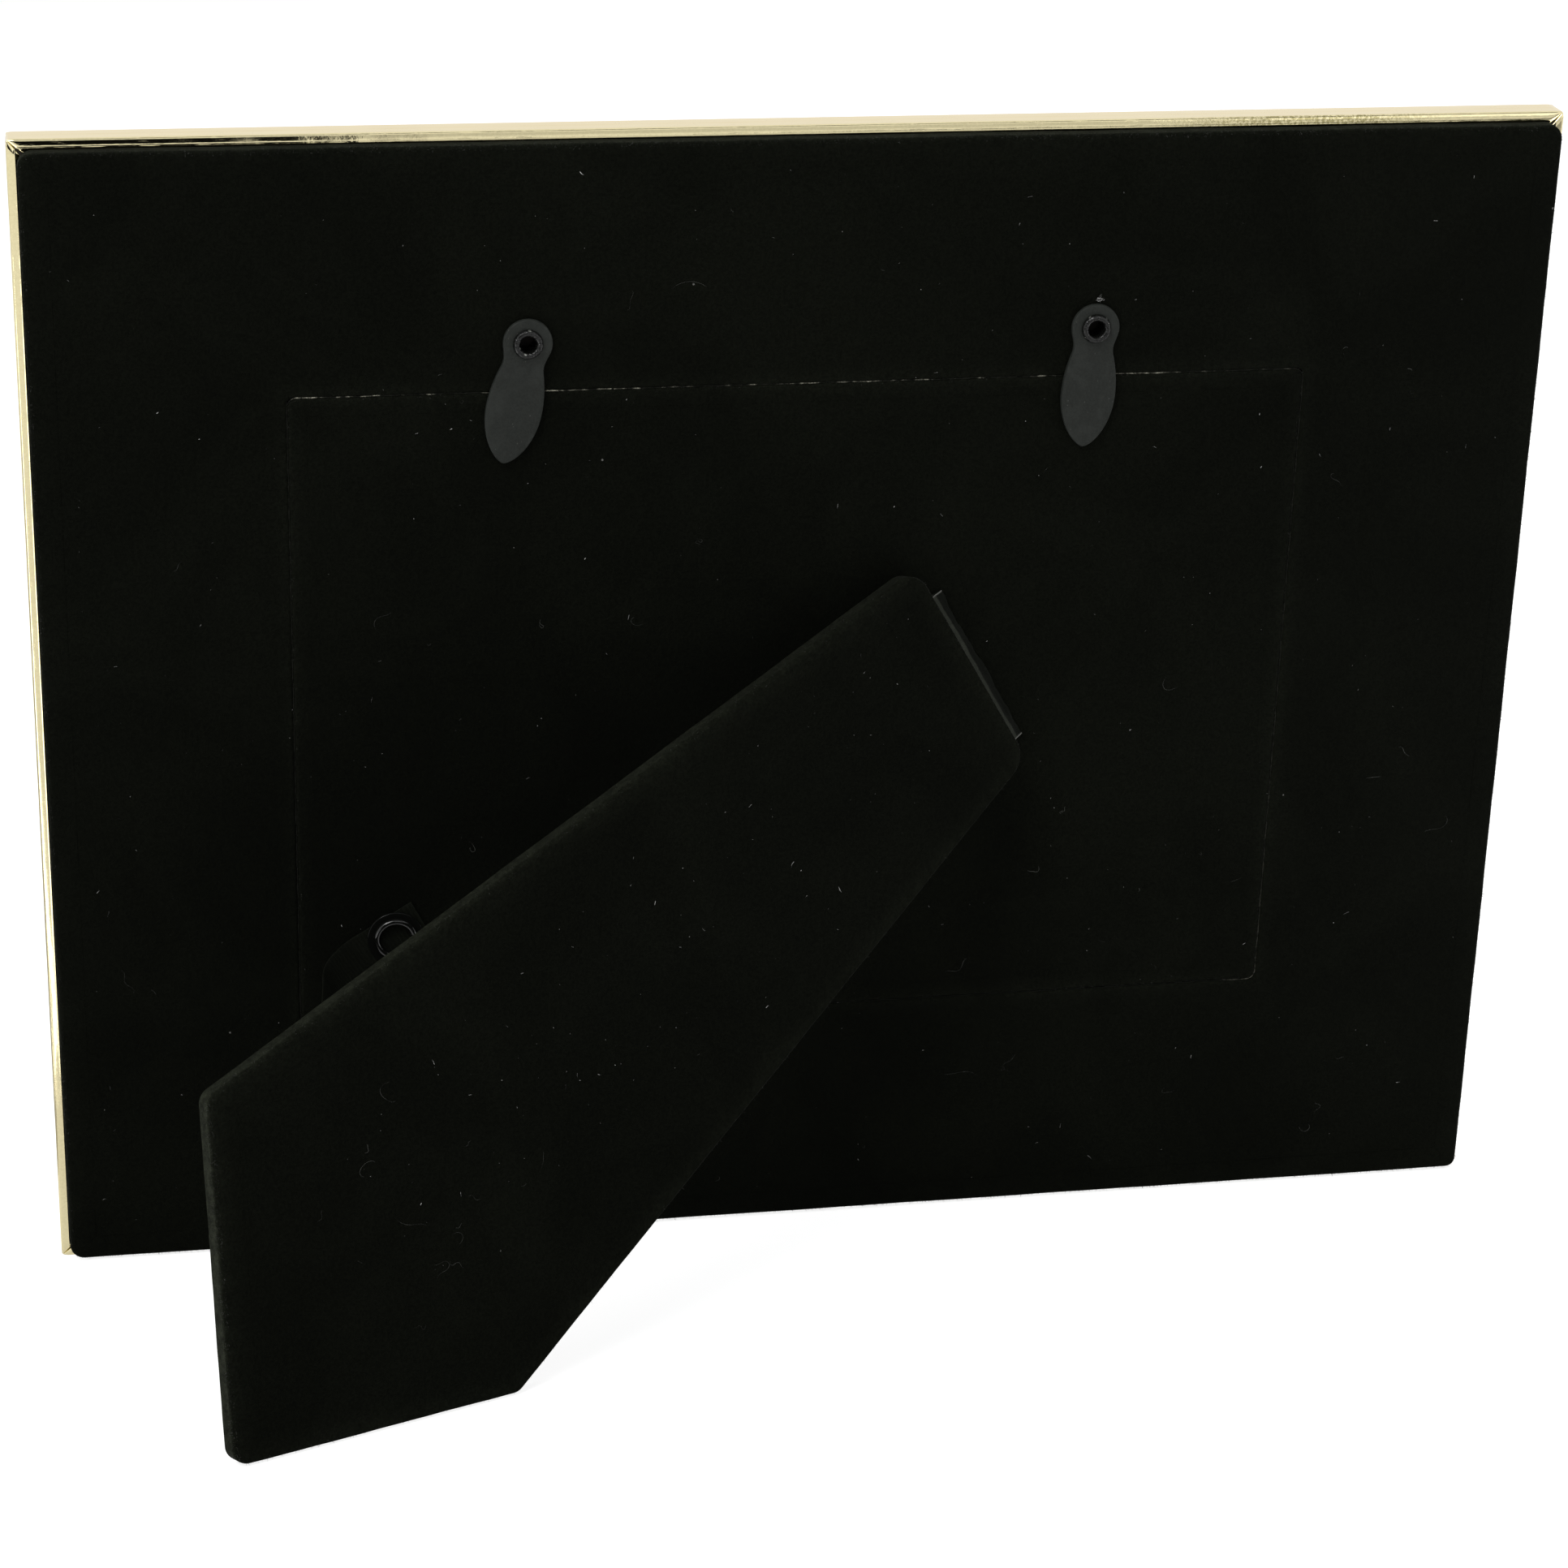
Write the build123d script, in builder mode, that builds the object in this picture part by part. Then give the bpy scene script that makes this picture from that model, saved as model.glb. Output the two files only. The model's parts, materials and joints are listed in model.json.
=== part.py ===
# Easel-back photo frame: mitred metal moulding, glass, velvet back, door, turn buttons and a folding leg
# Left and right are as seen from behind, where the leg and the turn buttons are
import os
from math import cos, radians, sin, tan

from build123d import *

# Driving dimensions in millimetres and degrees

# Picture and the stack that holds it
photo_width = 152.4
photo_height = 101.6
photo_play = 0.4
photo_cover = 4.5
glass_thickness = 2.0
glass_play = 0.3
print_thickness = 0.3
pad_thickness = 1.3
pad_play = 0.5

# Metal moulding, folded from sheet around a fibreboard core
border = 37.7
metal = 0.5
nose_depth = 2.0
back_flange = 8.0
back_bend = 0.5
front_bend = 0.3
sight_bend = 0.3
glue_gap = 0.05

# Corner nails, pressed into the core from behind across each mitre
nail_leg = 5.0
nail_thickness = 0.4
nail_depth = 3.6
nail_slot_play = 0.03
nail_insets = (14.0, 27.0)

# Back board, door and their velvet
board_inset = 1.4
board_thickness = 2.2
board_corner = 2.2
velvet = 0.4
velvet_fold = 1.6
velvet_turn = 1.8
seam_bevel = 0.25
door_gap = 0.4
door_corner = 1.2

# Tongues on the door's lower edge
tongue_spread = 90.0
tongue_width = 14.0
tongue_thickness = 0.3
tongue_hold = 8.0
tongue_reach = 4.0
tongue_play = 0.3

# Turn buttons and their eyelets
button_spread = 84.6
button_shift = 0.7
button_rise = 7.2
button_head = 3.62
button_length = 18.4
button_tip = 1.5
blade_half_width = 4.16
blade_middle = 10.2
blade_root_half_width = 2.75
blade_root = 2.2
waist_round = 1.8
button_thickness = 0.7
button_edge = 0.15
button_lift = 0.15
button_turns = {"left": -11.4, "right": -3.1}
eyelet_bore = 1.2
eyelet_wall = 0.35
eyelet_head = 2.2
eyelet_roll = 0.65
eyelet_bevel = 0.3
eyelet_tail = 2.5
eyelet_tail_thickness = 0.35
eyelet_play = 0.05
eyelet_lift = 0.1

# Easel leg, swung open about its hinge tape
lean = 8.4
opening = 28.2
hinge_right = 26.4
hinge_above = 7.3
leg_slant = 31.4
leg_setback = 2.8
leg_half_width = 18.1
leg_taper = 6.73
leg_board_thickness = 2.5
leg_tip_side = 9.75
leg_side_cut = 32.4
leg_top_corner = 4.0
leg_foot_corner = 2.5

# Hinge tape and stay ribbon
tape_thickness = 0.3
tape_width = 27.7
tape_shift = 2.35
tape_flange = 14.0
tape_nose = 0.45
tape_nose_round = 0.27
ribbon_thickness = 0.3
ribbon_width = 7.4
ribbon_tail = 4.9
ribbon_bend = 6.4
ribbon_leg_bend = 4.5
ribbon_glue = 12.0
ribbon_leg_hold = 130.0
stay_along = 97.5
stay_side = -9.5
stay_head = 4.3
stay_plate = 0.35
stay_ring = 3.35
stay_roll = 0.9
stay_bevel = 0.3
stay_bore = 2.4
stay_tail = 4.0

# Sizes worked out from the driving dimensions
rabbet_width = photo_width + 2 * photo_play
rabbet_height = photo_height + 2 * photo_play
frame_width = rabbet_width + 2 * border
frame_height = rabbet_height + 2 * border
face_width = border + photo_play + photo_cover
back_round = back_bend + metal
front_round = front_bend + metal
sight_round = sight_bend + metal
core_edge = metal + glue_gap
moulding_depth = nose_depth + glass_thickness + print_thickness + pad_thickness
back_width = frame_width - 2 * board_inset
back_height = frame_height - 2 * board_inset
board_back = moulding_depth + board_thickness
velvet_back = board_back + velvet
velvet_round = velvet_fold * velvet
door_width = rabbet_width - 2 * door_gap
door_height = rabbet_height - 2 * door_gap
leg_thickness = leg_board_thickness + velvet

# Stance: the frame leans back on the round of its bottom rail, and the leg's foot edge lies on the floor
lean_sin = sin(radians(lean))
lean_cos = cos(radians(lean))
open_sin = sin(radians(opening))
open_cos = cos(radians(opening))
slant_sin = sin(radians(leg_slant))
slant_cos = cos(radians(leg_slant))
edge_lift = back_round * (1 - lean_cos) + (moulding_depth - back_round) * lean_sin
hinge_depth = velvet_back + tape_thickness
hinge_up = frame_height / 2 + hinge_above
foot_drop_side = slant_cos * lean_cos
foot_drop_along = open_cos * slant_sin * lean_cos + open_sin * lean_sin
hinge_height = edge_lift + hinge_up * lean_cos - hinge_depth * lean_sin
hinge_height += tape_thickness * (open_sin * slant_sin * lean_cos - open_cos * lean_sin)
taper = tan(radians(leg_taper))
side_cut = tan(radians(leg_side_cut))


def leg_edge(along):
    """Half the leg's width at a distance from the hinge."""
    return leg_half_width + taper * along


# Corners of the leg's outline: distance from the hinge, then offset from the leg's centre line
leg_right_along = hinge_height - foot_drop_side * leg_half_width
leg_right_along /= foot_drop_along + foot_drop_side * taper
leg_tip_along = (hinge_height - foot_drop_side * leg_tip_side) / foot_drop_along
leg_left_along = (leg_tip_along - side_cut * (leg_half_width + leg_tip_side)) / (1 + side_cut * taper)
leg_corners = [
    (leg_setback, -leg_edge(leg_setback)),
    (leg_setback, leg_edge(leg_setback)),
    (leg_right_along, leg_edge(leg_right_along)),
    (leg_tip_along, leg_tip_side),
    (leg_left_along, -leg_edge(leg_left_along)),
]

# The origin is on the floor, half way between the front edge and the leg's tip
leg_outer = tape_thickness + leg_thickness
tip_up = hinge_up - leg_tip_side * slant_cos - (leg_tip_along * open_cos - leg_outer * open_sin) * slant_sin
tip_depth = hinge_depth + leg_tip_along * open_sin + leg_outer * open_cos
foot_reach = tip_up * lean_sin + tip_depth * lean_cos
centre_up = frame_height / 2
front = Plane(
    origin=(0, centre_up * lean_sin - foot_reach / 2, edge_lift + centre_up * lean_cos),
    x_dir=(-1, 0, 0),
    z_dir=(0, lean_cos, -lean_sin),
)
outward = Axis(front.origin, front.z_dir)


def direction(x, y, z):
    """A direction given in the frame's own axes: right, up the back, out of the back."""
    return front.x_dir * x + front.y_dir * y + front.z_dir * z


# The leg's plane folded on the back, then swung open: its X runs along the leg, its Z out of the velvet
folded = Plane(
    origin=front.from_local_coords((hinge_right, hinge_above, hinge_depth)),
    x_dir=direction(-slant_cos, -slant_sin, 0),
    z_dir=front.z_dir,
)
leg_plane = Plane(
    origin=folded.origin,
    x_dir=folded.x_dir * open_cos + folded.z_dir * open_sin,
    z_dir=folded.z_dir * open_cos - folded.x_dir * open_sin,
)

os.makedirs("parts", exist_ok=True)


# Moulding: corner nails, then each side as a folded metal rail around a core rail, both cut at the mitres
def draw_corner_nails(play):
    """Draws the plan of every corner nail, an L astride its mitre, grown all round by the play."""
    reach = nail_leg + play
    wall = nail_thickness + play
    for right in (-1, 1):
        for up in (-1, 1):
            for inset in nail_insets:
                x = right * (frame_width / 2 - inset)
                y = up * (frame_height / 2 - inset)
                Polygon(
                    (x + right * play, y + up * play),
                    (x - right * reach, y + up * play),
                    (x - right * reach, y - up * wall),
                    (x - right * wall, y - up * wall),
                    (x - right * wall, y - up * reach),
                    (x + right * play, y - up * reach),
                    align=None,
                )


with BuildPart() as nail_slots:
    with BuildSketch(front.offset(moulding_depth)):
        draw_corner_nails(nail_slot_play)
    extrude(amount=-nail_depth - nail_slot_play)

with BuildPart() as corner_nails:
    with BuildSketch(front.offset(moulding_depth)):
        draw_corner_nails(0)
    extrude(amount=-nail_depth)
corner_nails.part.label = "corner_nails"
export_step(corner_nails.part, "parts/corner_nails.step")

along_side = front.x_dir
length = frame_width
across = frame_height
for side in ("bottom", "right", "top", "left"):
    turned = Plane(origin=front.origin, x_dir=along_side, z_dir=front.z_dir)
    section = Plane(
        origin=turned.from_local_coords((0, -across / 2, 0)),
        x_dir=turned.y_dir,
        z_dir=turned.x_dir,
    )
    corner = length / 2
    mitre_start = Plane(
        origin=turned.from_local_coords((-corner, -across / 2, 0)),
        x_dir=turned.z_dir,
        z_dir=turned.x_dir - turned.y_dir,
    )
    mitre_end = Plane(
        origin=turned.from_local_coords((corner, -across / 2, 0)),
        x_dir=turned.z_dir,
        z_dir=-turned.x_dir - turned.y_dir,
    )

    with BuildPart() as rail:
        with BuildSketch(section):
            with BuildLine():
                fold = FilletPolyline(
                    (back_flange, moulding_depth),
                    (0, moulding_depth),
                    (0, 0),
                    (face_width, 0),
                    (face_width, nose_depth),
                    radius=[back_round, front_round, sight_round],
                )
                offset(fold, amount=metal, side=Side.LEFT)
            make_face()
        extrude(amount=length / 2, both=True)
        split(bisect_by=mitre_start, keep=Keep.TOP)
        split(bisect_by=mitre_end, keep=Keep.TOP)
    rail.part.label = f"rail_{side}"
    export_step(rail.part, f"parts/rail_{side}.step")

    with BuildPart() as core:
        with BuildSketch(section):
            with BuildLine():
                FilletPolyline(
                    (border, nose_depth),
                    (border, moulding_depth),
                    (back_flange + glue_gap, moulding_depth),
                    (back_flange + glue_gap, moulding_depth - core_edge),
                    (core_edge, moulding_depth - core_edge),
                    (core_edge, core_edge),
                    (face_width - core_edge, core_edge),
                    (face_width - core_edge, nose_depth),
                    radius=[0, 0, 0, back_bend - glue_gap, front_bend - glue_gap, sight_bend - glue_gap],
                )
                Line((face_width - core_edge, nose_depth), (border, nose_depth))
            make_face()
        extrude(amount=length / 2, both=True)
        split(bisect_by=mitre_start, keep=Keep.TOP)
        split(bisect_by=mitre_end, keep=Keep.TOP)
        add(nail_slots.part, mode=Mode.SUBTRACT)
    core.part.label = f"core_{side}"
    export_step(core.part, f"parts/core_{side}.step")

    # The next side runs square to this one
    along_side = turned.y_dir
    length, across = across, length

# Picture stack, from the sight edge back: glass, paper print, backing pad
stack = {
    "glass": (glass_play, nose_depth, glass_thickness),
    "photo_print": (photo_play, nose_depth + glass_thickness, print_thickness),
    "backing_pad": (pad_play, moulding_depth - pad_thickness, pad_thickness),
}
for name, (play, depth, thickness) in stack.items():
    with BuildPart() as sheet:
        with BuildSketch(front.offset(depth)):
            Rectangle(rabbet_width - 2 * play, rabbet_height - 2 * play)
        extrude(amount=thickness)
    sheet.part.label = name
    export_step(sheet.part, f"parts/{name}.step")

# Places on the back, in the frame's own axes
button_up = rabbet_height / 2 + button_rise
button_left = button_shift - button_spread / 2
button_right = button_shift + button_spread / 2
button_places = {"left": (button_left, button_up), "right": (button_right, button_up)}
stay_right = hinge_right - stay_along * slant_cos + stay_side * slant_sin
stay_up = hinge_above - stay_along * slant_sin - stay_side * slant_cos
tongue_places = [(-tongue_spread / 2, -door_height / 2), (tongue_spread / 2, -door_height / 2)]
eyelet_barrel = eyelet_bore + eyelet_wall
stay_barrel = stay_bore + eyelet_wall
tail_pocket = eyelet_tail_thickness + eyelet_lift

# Back board: a window for the door, eyelet holes sunk for their tails, and sockets for the door's tongues
with BuildPart() as back_board:
    with BuildSketch(front.offset(moulding_depth)):
        RectangleRounded(back_width - 2 * velvet, back_height - 2 * velvet, board_corner - velvet)
        RectangleRounded(
            rabbet_width + 2 * velvet, rabbet_height + 2 * velvet, door_corner + velvet, mode=Mode.SUBTRACT
        )
        with Locations(*button_places.values()):
            Circle(eyelet_barrel + eyelet_play, mode=Mode.SUBTRACT)
    extrude(amount=board_thickness)
    with BuildSketch(front.offset(moulding_depth)):
        with Locations(*button_places.values()):
            Circle(eyelet_tail + eyelet_play)
    extrude(amount=tail_pocket, mode=Mode.SUBTRACT)
    with BuildSketch(front.offset(moulding_depth)):
        with Locations(*tongue_places):
            Rectangle(
                tongue_width + 2 * tongue_play,
                tongue_reach + tongue_play,
                align=(Align.CENTER, Align.MAX),
            )
    extrude(amount=tongue_thickness + tongue_play, mode=Mode.SUBTRACT)
back_board.part.label = "back_board"
export_step(back_board.part, "parts/back_board.step")

# Velvet on the back board: the sheet, its turn over the outer edge and its turn into the window
with BuildPart() as back_velvet:
    with BuildSketch(front.offset(board_back)):
        RectangleRounded(back_width, back_height, board_corner)
        RectangleRounded(rabbet_width, rabbet_height, door_corner, mode=Mode.SUBTRACT)
        with Locations(*button_places.values()):
            Circle(eyelet_barrel + eyelet_play, mode=Mode.SUBTRACT)
    extrude(amount=velvet)
    with BuildSketch(front.offset(moulding_depth)):
        RectangleRounded(back_width, back_height, board_corner)
        RectangleRounded(
            back_width - 2 * velvet, back_height - 2 * velvet, board_corner - velvet, mode=Mode.SUBTRACT
        )
    extrude(amount=board_thickness)
    with BuildSketch(front.offset(board_back - velvet_turn)):
        RectangleRounded(rabbet_width + 2 * velvet, rabbet_height + 2 * velvet, door_corner + velvet)
        RectangleRounded(rabbet_width, rabbet_height, door_corner, mode=Mode.SUBTRACT)
    extrude(amount=velvet_turn)
    fillet(back_velvet.faces().sort_by(outward)[-1].outer_wire().edges(), velvet_round)
    seam = back_velvet.faces().sort_by(outward)[-1].inner_wires().sort_by(SortBy.LENGTH)[-1]
    chamfer(seam.edges(), seam_bevel)
back_velvet.part.label = "back_velvet"
export_step(back_velvet.part, "parts/back_velvet.step")

# Door board: sunk for the tongues and for the stay eyelet's tail
with BuildPart() as door_board:
    with BuildSketch(front.offset(moulding_depth)):
        RectangleRounded(door_width - 2 * velvet, door_height - 2 * velvet, door_corner - velvet)
        with Locations((stay_right, stay_up)):
            Circle(stay_barrel + eyelet_play, mode=Mode.SUBTRACT)
    extrude(amount=board_thickness)
    with BuildSketch(front.offset(moulding_depth)):
        with Locations((stay_right, stay_up)):
            Circle(stay_tail + eyelet_play)
    extrude(amount=tail_pocket, mode=Mode.SUBTRACT)
    with BuildSketch(front.offset(moulding_depth)):
        with Locations(*tongue_places):
            Rectangle(tongue_width, tongue_hold, align=(Align.CENTER, Align.MIN))
    extrude(amount=tongue_thickness, mode=Mode.SUBTRACT)
door_board.part.label = "door_board"
export_step(door_board.part, "parts/door_board.step")

with BuildPart() as door_velvet:
    with BuildSketch(front.offset(board_back)):
        RectangleRounded(door_width, door_height, door_corner)
        with Locations((stay_right, stay_up)):
            Circle(stay_barrel + eyelet_play, mode=Mode.SUBTRACT)
    extrude(amount=velvet)
    with BuildSketch(front.offset(board_back - velvet_turn)):
        RectangleRounded(door_width, door_height, door_corner)
        RectangleRounded(
            door_width - 2 * velvet, door_height - 2 * velvet, door_corner - velvet, mode=Mode.SUBTRACT
        )
    extrude(amount=velvet_turn)
    chamfer(door_velvet.faces().sort_by(outward)[-1].outer_wire().edges(), seam_bevel)
door_velvet.part.label = "door_velvet"
export_step(door_velvet.part, "parts/door_velvet.step")

# Tongues: flat tabs let into the door's inner face, reaching under the back board below the window
with BuildPart() as door_tongues:
    with BuildSketch(front.offset(moulding_depth)):
        with Locations(*tongue_places):
            Rectangle(tongue_width, tongue_hold, align=(Align.CENTER, Align.MIN))
            Rectangle(tongue_width, tongue_reach, align=(Align.CENTER, Align.MAX))
    extrude(amount=tongue_thickness)
door_tongues.part.label = "door_tongues"
export_step(door_tongues.part, "parts/door_tongues.step")

# Turn buttons: a round head and a leaf-shaped blade, turning on tubular eyelets
button_base = velvet_back + button_lift
button_top = button_base + button_thickness
eyelet_seat = button_top + eyelet_lift
eyelet_top = eyelet_seat + eyelet_roll
eyelet_foot = moulding_depth + tail_pocket - eyelet_tail_thickness
for side, (right, up) in button_places.items():
    turn = radians(button_turns[side])
    button_plane = Plane(
        origin=front.from_local_coords((right, up, button_base)),
        x_dir=direction(cos(turn), sin(turn), 0),
        z_dir=front.z_dir,
    )
    with BuildPart() as turn_button:
        with BuildSketch(button_plane) as button_outline:
            with BuildLine():
                ThreePointArc(
                    (blade_root_half_width, -blade_root),
                    (blade_half_width, -blade_middle),
                    (0, -button_length),
                )
                ThreePointArc(
                    (0, -button_length),
                    (-blade_half_width, -blade_middle),
                    (-blade_root_half_width, -blade_root),
                )
                Line((-blade_root_half_width, -blade_root), (blade_root_half_width, -blade_root))
            make_face()
            Circle(button_head)
            by_height = button_outline.vertices().group_by(Axis.Y)
            fillet(by_height[1], waist_round)
            fillet(button_outline.vertices().group_by(Axis.Y)[0], button_tip)
            Circle(eyelet_barrel + eyelet_play, mode=Mode.SUBTRACT)
        extrude(amount=button_thickness)
        chamfer(turn_button.faces().sort_by(outward)[-1].outer_wire().edges(), button_edge)
    turn_button.part.label = f"turn_button_{side}"
    export_step(turn_button.part, f"parts/turn_button_{side}.step")

    eyelet_section = Plane(
        origin=front.from_local_coords((right, up, 0)),
        x_dir=front.x_dir,
        z_dir=-front.y_dir,
    )
    with BuildPart() as eyelet:
        with BuildSketch(eyelet_section):
            Polygon(
                (eyelet_head, eyelet_seat),
                (eyelet_barrel, eyelet_seat),
                (eyelet_barrel, eyelet_foot + eyelet_tail_thickness),
                (eyelet_tail, eyelet_foot + eyelet_tail_thickness),
                (eyelet_tail, eyelet_foot),
                (eyelet_bore, eyelet_foot),
                (eyelet_bore, eyelet_top - eyelet_bevel),
                (eyelet_bore + eyelet_bevel, eyelet_top),
                (eyelet_head - eyelet_bevel, eyelet_top),
                (eyelet_head, eyelet_top - eyelet_bevel),
                align=None,
            )
        revolve(axis=Axis(eyelet_section.origin, front.z_dir))
    eyelet.part.label = f"eyelet_{side}"
    export_step(eyelet.part, f"parts/eyelet_{side}.step")


# Easel leg: a flaring board with one foot edge for each way up, its outer face and edges in velvet
def draw_leg(inset):
    """Draws the leg's outline in the active sketch, drawn in all round by the inset."""
    Polygon(*leg_corners, align=None)
    if inset > 0:
        offset(amount=-inset, kind=Kind.INTERSECTION)


def round_leg_corners(outline, inset):
    """Rounds the top corners and the foot corners of a leg outline."""
    along = outline.vertices().sort_by(Axis.X)
    fillet(along[:2], leg_top_corner - inset)
    fillet(outline.vertices().sort_by(Axis.X)[-3:], leg_foot_corner - inset)


with BuildPart() as leg_board:
    with BuildSketch(leg_plane.offset(tape_thickness)) as board_outline:
        draw_leg(velvet)
        round_leg_corners(board_outline, velvet)
    extrude(amount=leg_board_thickness)
leg_board.part.label = "leg_board"
export_step(leg_board.part, "parts/leg_board.step")

with BuildPart() as leg_velvet:
    with BuildSketch(leg_plane.offset(tape_thickness)) as velvet_outline:
        draw_leg(0)
        round_leg_corners(velvet_outline, 0)
    extrude(amount=leg_thickness)
    leg_face = leg_velvet.faces().sort_by(Axis(leg_plane.origin, leg_plane.z_dir))[-1]
    fillet(leg_face.edges(), velvet_round)
    add(leg_board.part, mode=Mode.SUBTRACT)
leg_velvet.part.label = "leg_velvet"
export_step(leg_velvet.part, "parts/leg_velvet.step")

# Hinge tape: folded double at the leg's top, one flange glued to the door and one under the leg
tape_section = Plane(
    origin=folded.from_local_coords((0, tape_shift, 0)),
    x_dir=folded.x_dir,
    z_dir=-folded.y_dir,
)


def on_leg(along, lift):
    """A point of a section across the hinge, at a distance along the open leg and a lift off its plane."""
    return (along * open_cos - lift * open_sin, along * open_sin + lift * open_cos)


with BuildPart() as hinge_tape:
    with BuildSketch(tape_section) as tape_profile:
        Polygon(
            (-tape_nose, -tape_thickness),
            (tape_flange, -tape_thickness),
            (tape_flange, 0),
            (0, 0),
            on_leg(tape_flange, 0),
            on_leg(tape_flange, tape_thickness),
            on_leg(tape_nose, tape_thickness),
            (-tape_nose, tape_thickness),
            align=None,
        )
        fillet(tape_profile.vertices().group_by(Axis.X)[0], tape_nose_round)
    extrude(amount=tape_width / 2, both=True)
hinge_tape.part.label = "hinge_tape"
export_step(hinge_tape.part, "parts/hinge_tape.step")

# Stay ribbon: flat under the stay eyelet, bent out from the door and glued along the leg's inner face
ribbon_section = Plane(
    origin=folded.from_local_coords((0, stay_side, 0)),
    x_dir=folded.x_dir,
    z_dir=-folded.y_dir,
)
ribbon_middle = ribbon_thickness / 2
ribbon_floor = -tape_thickness + ribbon_middle
ribbon_corner = stay_along + stay_head + ribbon_bend
with BuildPart() as stay_ribbon:
    with BuildSketch(ribbon_section):
        with BuildLine() as ribbon_path:
            FilletPolyline(
                (stay_along - ribbon_tail, ribbon_floor),
                (ribbon_corner, ribbon_floor),
                on_leg(ribbon_leg_hold, tape_thickness - ribbon_middle),
                on_leg(ribbon_leg_hold + ribbon_glue, tape_thickness - ribbon_middle),
                radius=[ribbon_bend, ribbon_leg_bend],
            )
        trace(ribbon_path.line, line_width=ribbon_thickness)
    extrude(amount=ribbon_width / 2, both=True)
    with BuildSketch(front.offset(velvet_back)):
        with Locations((stay_right, stay_up)):
            Circle(stay_barrel + eyelet_play)
    extrude(amount=ribbon_thickness, mode=Mode.SUBTRACT)
stay_ribbon.part.label = "stay_ribbon"
export_step(stay_ribbon.part, "parts/stay_ribbon.step")

# Stay eyelet: a flat flange with a raised ring round its bore, clamping the ribbon to the door
stay_section = Plane(
    origin=front.from_local_coords((stay_right, stay_up, 0)),
    x_dir=front.x_dir,
    z_dir=-front.y_dir,
)
stay_seat = velvet_back + ribbon_thickness
stay_top = stay_seat + stay_roll
with BuildPart() as stay_eyelet:
    with BuildSketch(stay_section):
        Polygon(
            (stay_head, stay_seat),
            (stay_barrel, stay_seat),
            (stay_barrel, eyelet_foot + eyelet_tail_thickness),
            (stay_tail, eyelet_foot + eyelet_tail_thickness),
            (stay_tail, eyelet_foot),
            (stay_bore, eyelet_foot),
            (stay_bore, stay_top - stay_bevel),
            (stay_bore + stay_bevel, stay_top),
            (stay_ring - stay_bevel, stay_top),
            (stay_ring, stay_top - stay_bevel),
            (stay_ring, stay_seat + stay_plate),
            (stay_head, stay_seat + stay_plate),
            align=None,
        )
    revolve(axis=Axis(stay_section.origin, front.z_dir))
stay_eyelet.part.label = "stay_eyelet"
export_step(stay_eyelet.part, "parts/stay_eyelet.step")

# Where the moving pieces turn, in this frame
print("leg hinge at", folded.origin, "along", -folded.y_dir)
for side, (right, up) in button_places.items():
    print(f"turn button {side} at", front.from_local_coords((right, up, velvet_back)), "along", front.z_dir)
print("bottom rail's outer face at", front.from_local_coords((0, -frame_height / 2, moulding_depth / 2)))
print("left rail's outer face at", front.from_local_coords((-frame_width / 2, 0, moulding_depth / 2)))
print("picture's middle at", front.from_local_coords((0, 0, nose_depth + glass_thickness)))
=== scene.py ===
import json
import math

import bpy
import numpy as np
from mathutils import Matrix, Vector


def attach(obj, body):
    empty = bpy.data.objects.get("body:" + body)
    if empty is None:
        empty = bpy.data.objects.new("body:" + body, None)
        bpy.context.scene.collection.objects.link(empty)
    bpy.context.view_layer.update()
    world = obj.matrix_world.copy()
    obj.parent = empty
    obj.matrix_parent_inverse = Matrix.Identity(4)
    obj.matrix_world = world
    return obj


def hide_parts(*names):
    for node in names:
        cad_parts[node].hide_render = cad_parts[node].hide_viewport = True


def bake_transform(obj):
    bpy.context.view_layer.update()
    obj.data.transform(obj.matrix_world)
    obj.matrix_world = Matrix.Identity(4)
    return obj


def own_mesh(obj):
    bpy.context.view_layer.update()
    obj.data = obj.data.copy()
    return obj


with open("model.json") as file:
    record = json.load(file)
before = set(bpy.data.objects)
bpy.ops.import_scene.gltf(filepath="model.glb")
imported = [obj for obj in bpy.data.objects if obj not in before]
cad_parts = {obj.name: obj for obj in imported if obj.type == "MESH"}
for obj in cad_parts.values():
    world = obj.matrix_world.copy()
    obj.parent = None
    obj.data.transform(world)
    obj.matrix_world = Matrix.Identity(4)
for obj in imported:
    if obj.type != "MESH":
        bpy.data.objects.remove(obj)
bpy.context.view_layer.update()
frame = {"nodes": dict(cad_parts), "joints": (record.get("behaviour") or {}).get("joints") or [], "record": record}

# Sizes in millimetres, in the frame's own axes: right as seen from behind, up the back, out of the back
MM = 0.001
FRAME_WIDTH = 228.6
FRAME_HEIGHT = 177.8
PICTURE_DEPTH = 4.0

# Gold rail
METAL = 0.5
RAIL_DEPTH = 5.6
RAIL_FLANGE = 8.0
RAIL_FACE = 42.6
RAIL_NOSE = 2.0
LIP_DEPTH = 5.48
LIP_INNER = 2.1
LIP_TOP = 1.1
LIP_CROWN = 2.54
LIP_OUTER = 0.35
LIP_SPREAD = 1.3
LIP_SINK = 0.027
LIP_WANDER = ((0.012, 23.0, 0.3), (0.009, 9.7, 1.9), (0.006, 4.3, 4.0))
BEAD_IN = 1.26
BEAD_HALF = 0.11
BEAD_RISE = 0.11
BEAD_EVEN_SHARE = 0.75
BEAD_JAGS = ((0.14, 3.7, 0.5), (0.12, 1.9, 2.0), (0.1, 7.9, 1.0))
FACE_BEND = 0.8
MITRE_GAP = 0.07
MITRE_EASE_WIDTH = 1.1
MITRE_EASE_DEPTH = 0.42
MITRE_EASE_FROM = 0.2
MITRE_EASE_OVER = 0.6
MITRE_EASE_LEAST = 0.1
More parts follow.
